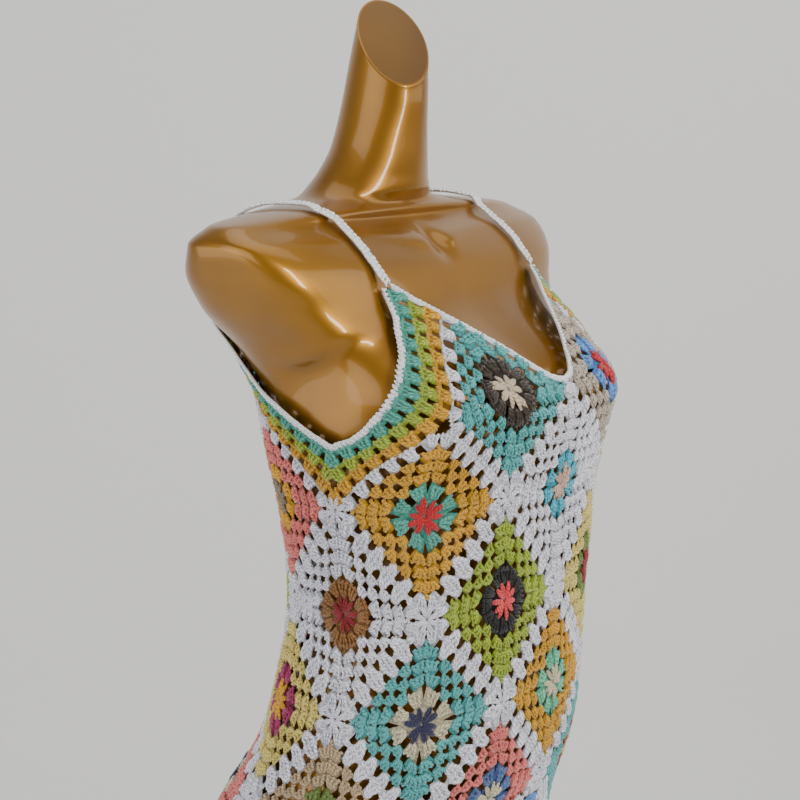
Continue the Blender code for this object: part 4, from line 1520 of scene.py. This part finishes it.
def set_studio(away, side):
    """A pale floor, a pale wall behind, and soft light."""
    floor, tree, shader = new_material("pale floor")
    feed(tree, shader, {"Base Color": linear((222, 221, 219)), "Roughness": 0.7})
    points, faces = [], []
    for k, (far, high) in enumerate(BACKDROP):
        for way in (-BACKDROP_HALF, BACKDROP_HALF):
            points.append(away * far + side * way + Vector((0, 0, high - FLOOR_DROP)))
        if k:
            faces.append((2 * k - 2, 2 * k - 1, 2 * k + 1, 2 * k))
    sweep = add_mesh("backdrop", points, faces, floor)
    world = bpy.data.worlds.new("studio")
    bpy.context.scene.world = world
    world.use_nodes = True
    sky = {"Color": (0.74, 0.75, 0.78, 1), "Strength": 0.38}
    feed(world.node_tree, world.node_tree.nodes["Background"], sky)
    for name, degrees, distance, height, size, power, colour in LIGHTS:
        turn = math.radians(degrees)
        place = LIGHTS_AIM + (-away * math.cos(turn) + side * math.sin(turn)) * distance + Vector((0, 0, height))
        lamp = bpy.data.lights.new(name, "AREA")
        lamp.shape = "RECTANGLE"
        lamp.size, lamp.size_y = size
        lamp.energy = power
        lamp.color = colour
        made = show(bpy.data.objects.new(name, lamp))
        made.location = place
        made.rotation_euler = (LIGHTS_AIM - place).to_track_quat("-Z", "Y").to_euler()


# Making everything --------------------------------------------------------------------------------------------


def dress_pieces(work, yarn, ground):
    """The grounds of the front and the back, and the stitches on them."""
    pieces = {}
    for is_front, word in ((True, "front"), (False, "back")):
        pieces[f"dress_{word}_ground"] = net(f"dress_{word}_ground", is_front, ground)
        for part, rows in (("top", range(0, 3)), ("middle", range(3, 6)), ("hem", range(6, 9))):
            marks = [new_stitches() for _ in range(3)]
            for column, row in squares_of(is_front):
                if row not in rows:
                    continue
                if row > 0:
                    square_stitches(marks, to_chart(column, row), (column, row))
                    continue
                cup_stitches(marks, quarter_of(column, is_front), (column, row))
                stripe_stitches(marks[0], quarter_of(column, is_front))
            name = f"{word}_{part}_stitches"
            kinds = zip(("cluster", "edge", "spoke"), marks)
            pieces[name] = joined(name, [work(name, kind, stitches, yarn) for kind, stitches in kinds], yarn)
    return pieces


def edging_pieces(work, yarn, white):
    edgings = {
        "armhole_edging_right": (armhole_route(-1), (0, 3.0)),
        "armhole_edging_left": (armhole_route(1), (6, 3.0)),
        "neck_edging_front": (neck_route(True), (FRONT_COLUMN, 2.0)),
        "neck_edging_back": (neck_route(False), (BACK_COLUMN - COLUMNS, 2.0)),
    }
    pieces = {}
    for cad_name, (route, inward) in edgings.items():
        name = f"{cad_name}_yarn"
        parts = [
            work(name, "edge", edge_stitches(route, inward, white), yarn),
            edging_band(name, route, inward, white, yarn),
        ]
        pieces[name] = joined(name, parts, yarn)
        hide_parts(cad_name)
    return pieces


def strap_pieces(work, yarn, white, straps):
    pieces = {}
    for side, word in ((-1, "right"), (1, "left")):
        name = f"strap_{word}_yarn"
        line, across, normals, length = straps[side]
        width, thick = STRAP_WIDTH * STRAP_BAND[0], STRAP_BAND[1]
        parts = [
            work(name, "edge", strap_stitches(side, length, white), yarn),
            band(name, line, across, normals, width, thick, white, yarn),
        ]
        pieces[name] = joined(name, parts, yarn)
        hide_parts(f"strap_{word}")
    return pieces


def finish_stand():
    plate = steel_material("brushed steel plate", (176, 176, 178), 0.34, (1, 14, 1))
    rod = steel_material("brushed steel pole", (182, 182, 184), 0.28, (1, 1, 0.04))
    for name, finish in (("foot_plate", plate), ("pole_hub", plate), ("form_collar", plate), ("pole", rod)):
        cad = frame["nodes"][name]
        cad = cad if isinstance(cad, bpy.types.Object) else bpy.data.objects[name]
        for place in cad.material_slots:
            place.material = finish


def main():
    set_studio(*set_camera())
    twist = yarn_twist_group()
    yarn = yarn_material("cotton yarn", twist, 1.6, 0.82)
    edge_yarn = yarn_material("cotton edging yarn", twist, 2.2, 0.85)
    ground = ground_material()
    skin = form_skin(lacquer_material())
    guide, straps = build_guide(skin)
    tree = stitch_tree()
    kinds = {"cluster": cluster_strands, "spoke": spoke_strands, "edge": edge_strands}
    folders = {kind: template_folder(kind, strands_of) for kind, strands_of in kinds.items()}
    white = linear(YARNS["white"])

    def work(name, kind, stitches, material):
        return work_stitches(name, stitches, folders[kind], tree, guide, material)

    pieces = dress_pieces(work, yarn, ground)
    pieces.update(edging_pieces(work, edge_yarn, white))
    pieces.update(strap_pieces(work, edge_yarn, white, straps))
    bpy.data.objects.remove(guide, do_unlink=True)
    for folder in folders.values():
        for template in list(folder.objects):
            bpy.data.objects.remove(template, do_unlink=True)
        bpy.data.collections.remove(folder)

    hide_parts("dress_form")
    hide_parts("dress_front")
    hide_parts("dress_back")
    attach(skin, "root")
    for name, piece in pieces.items():
        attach(piece, "root")
        "white_yarn" if "edging" in name or "strap" in name else "cotton_yarn"
    for word, flat, area in (("front", (0.50, 0.80), 0.37), ("back", (0.50, 0.80), 0.27)):
        going = [p for n, p in pieces.items() if n.startswith(word) or n == f"neck_edging_{word}_yarn"]
        if word == "front":
            going += [p for n, p in pieces.items() if "armhole" in n or "strap" in n]

    finish_stand()


main()
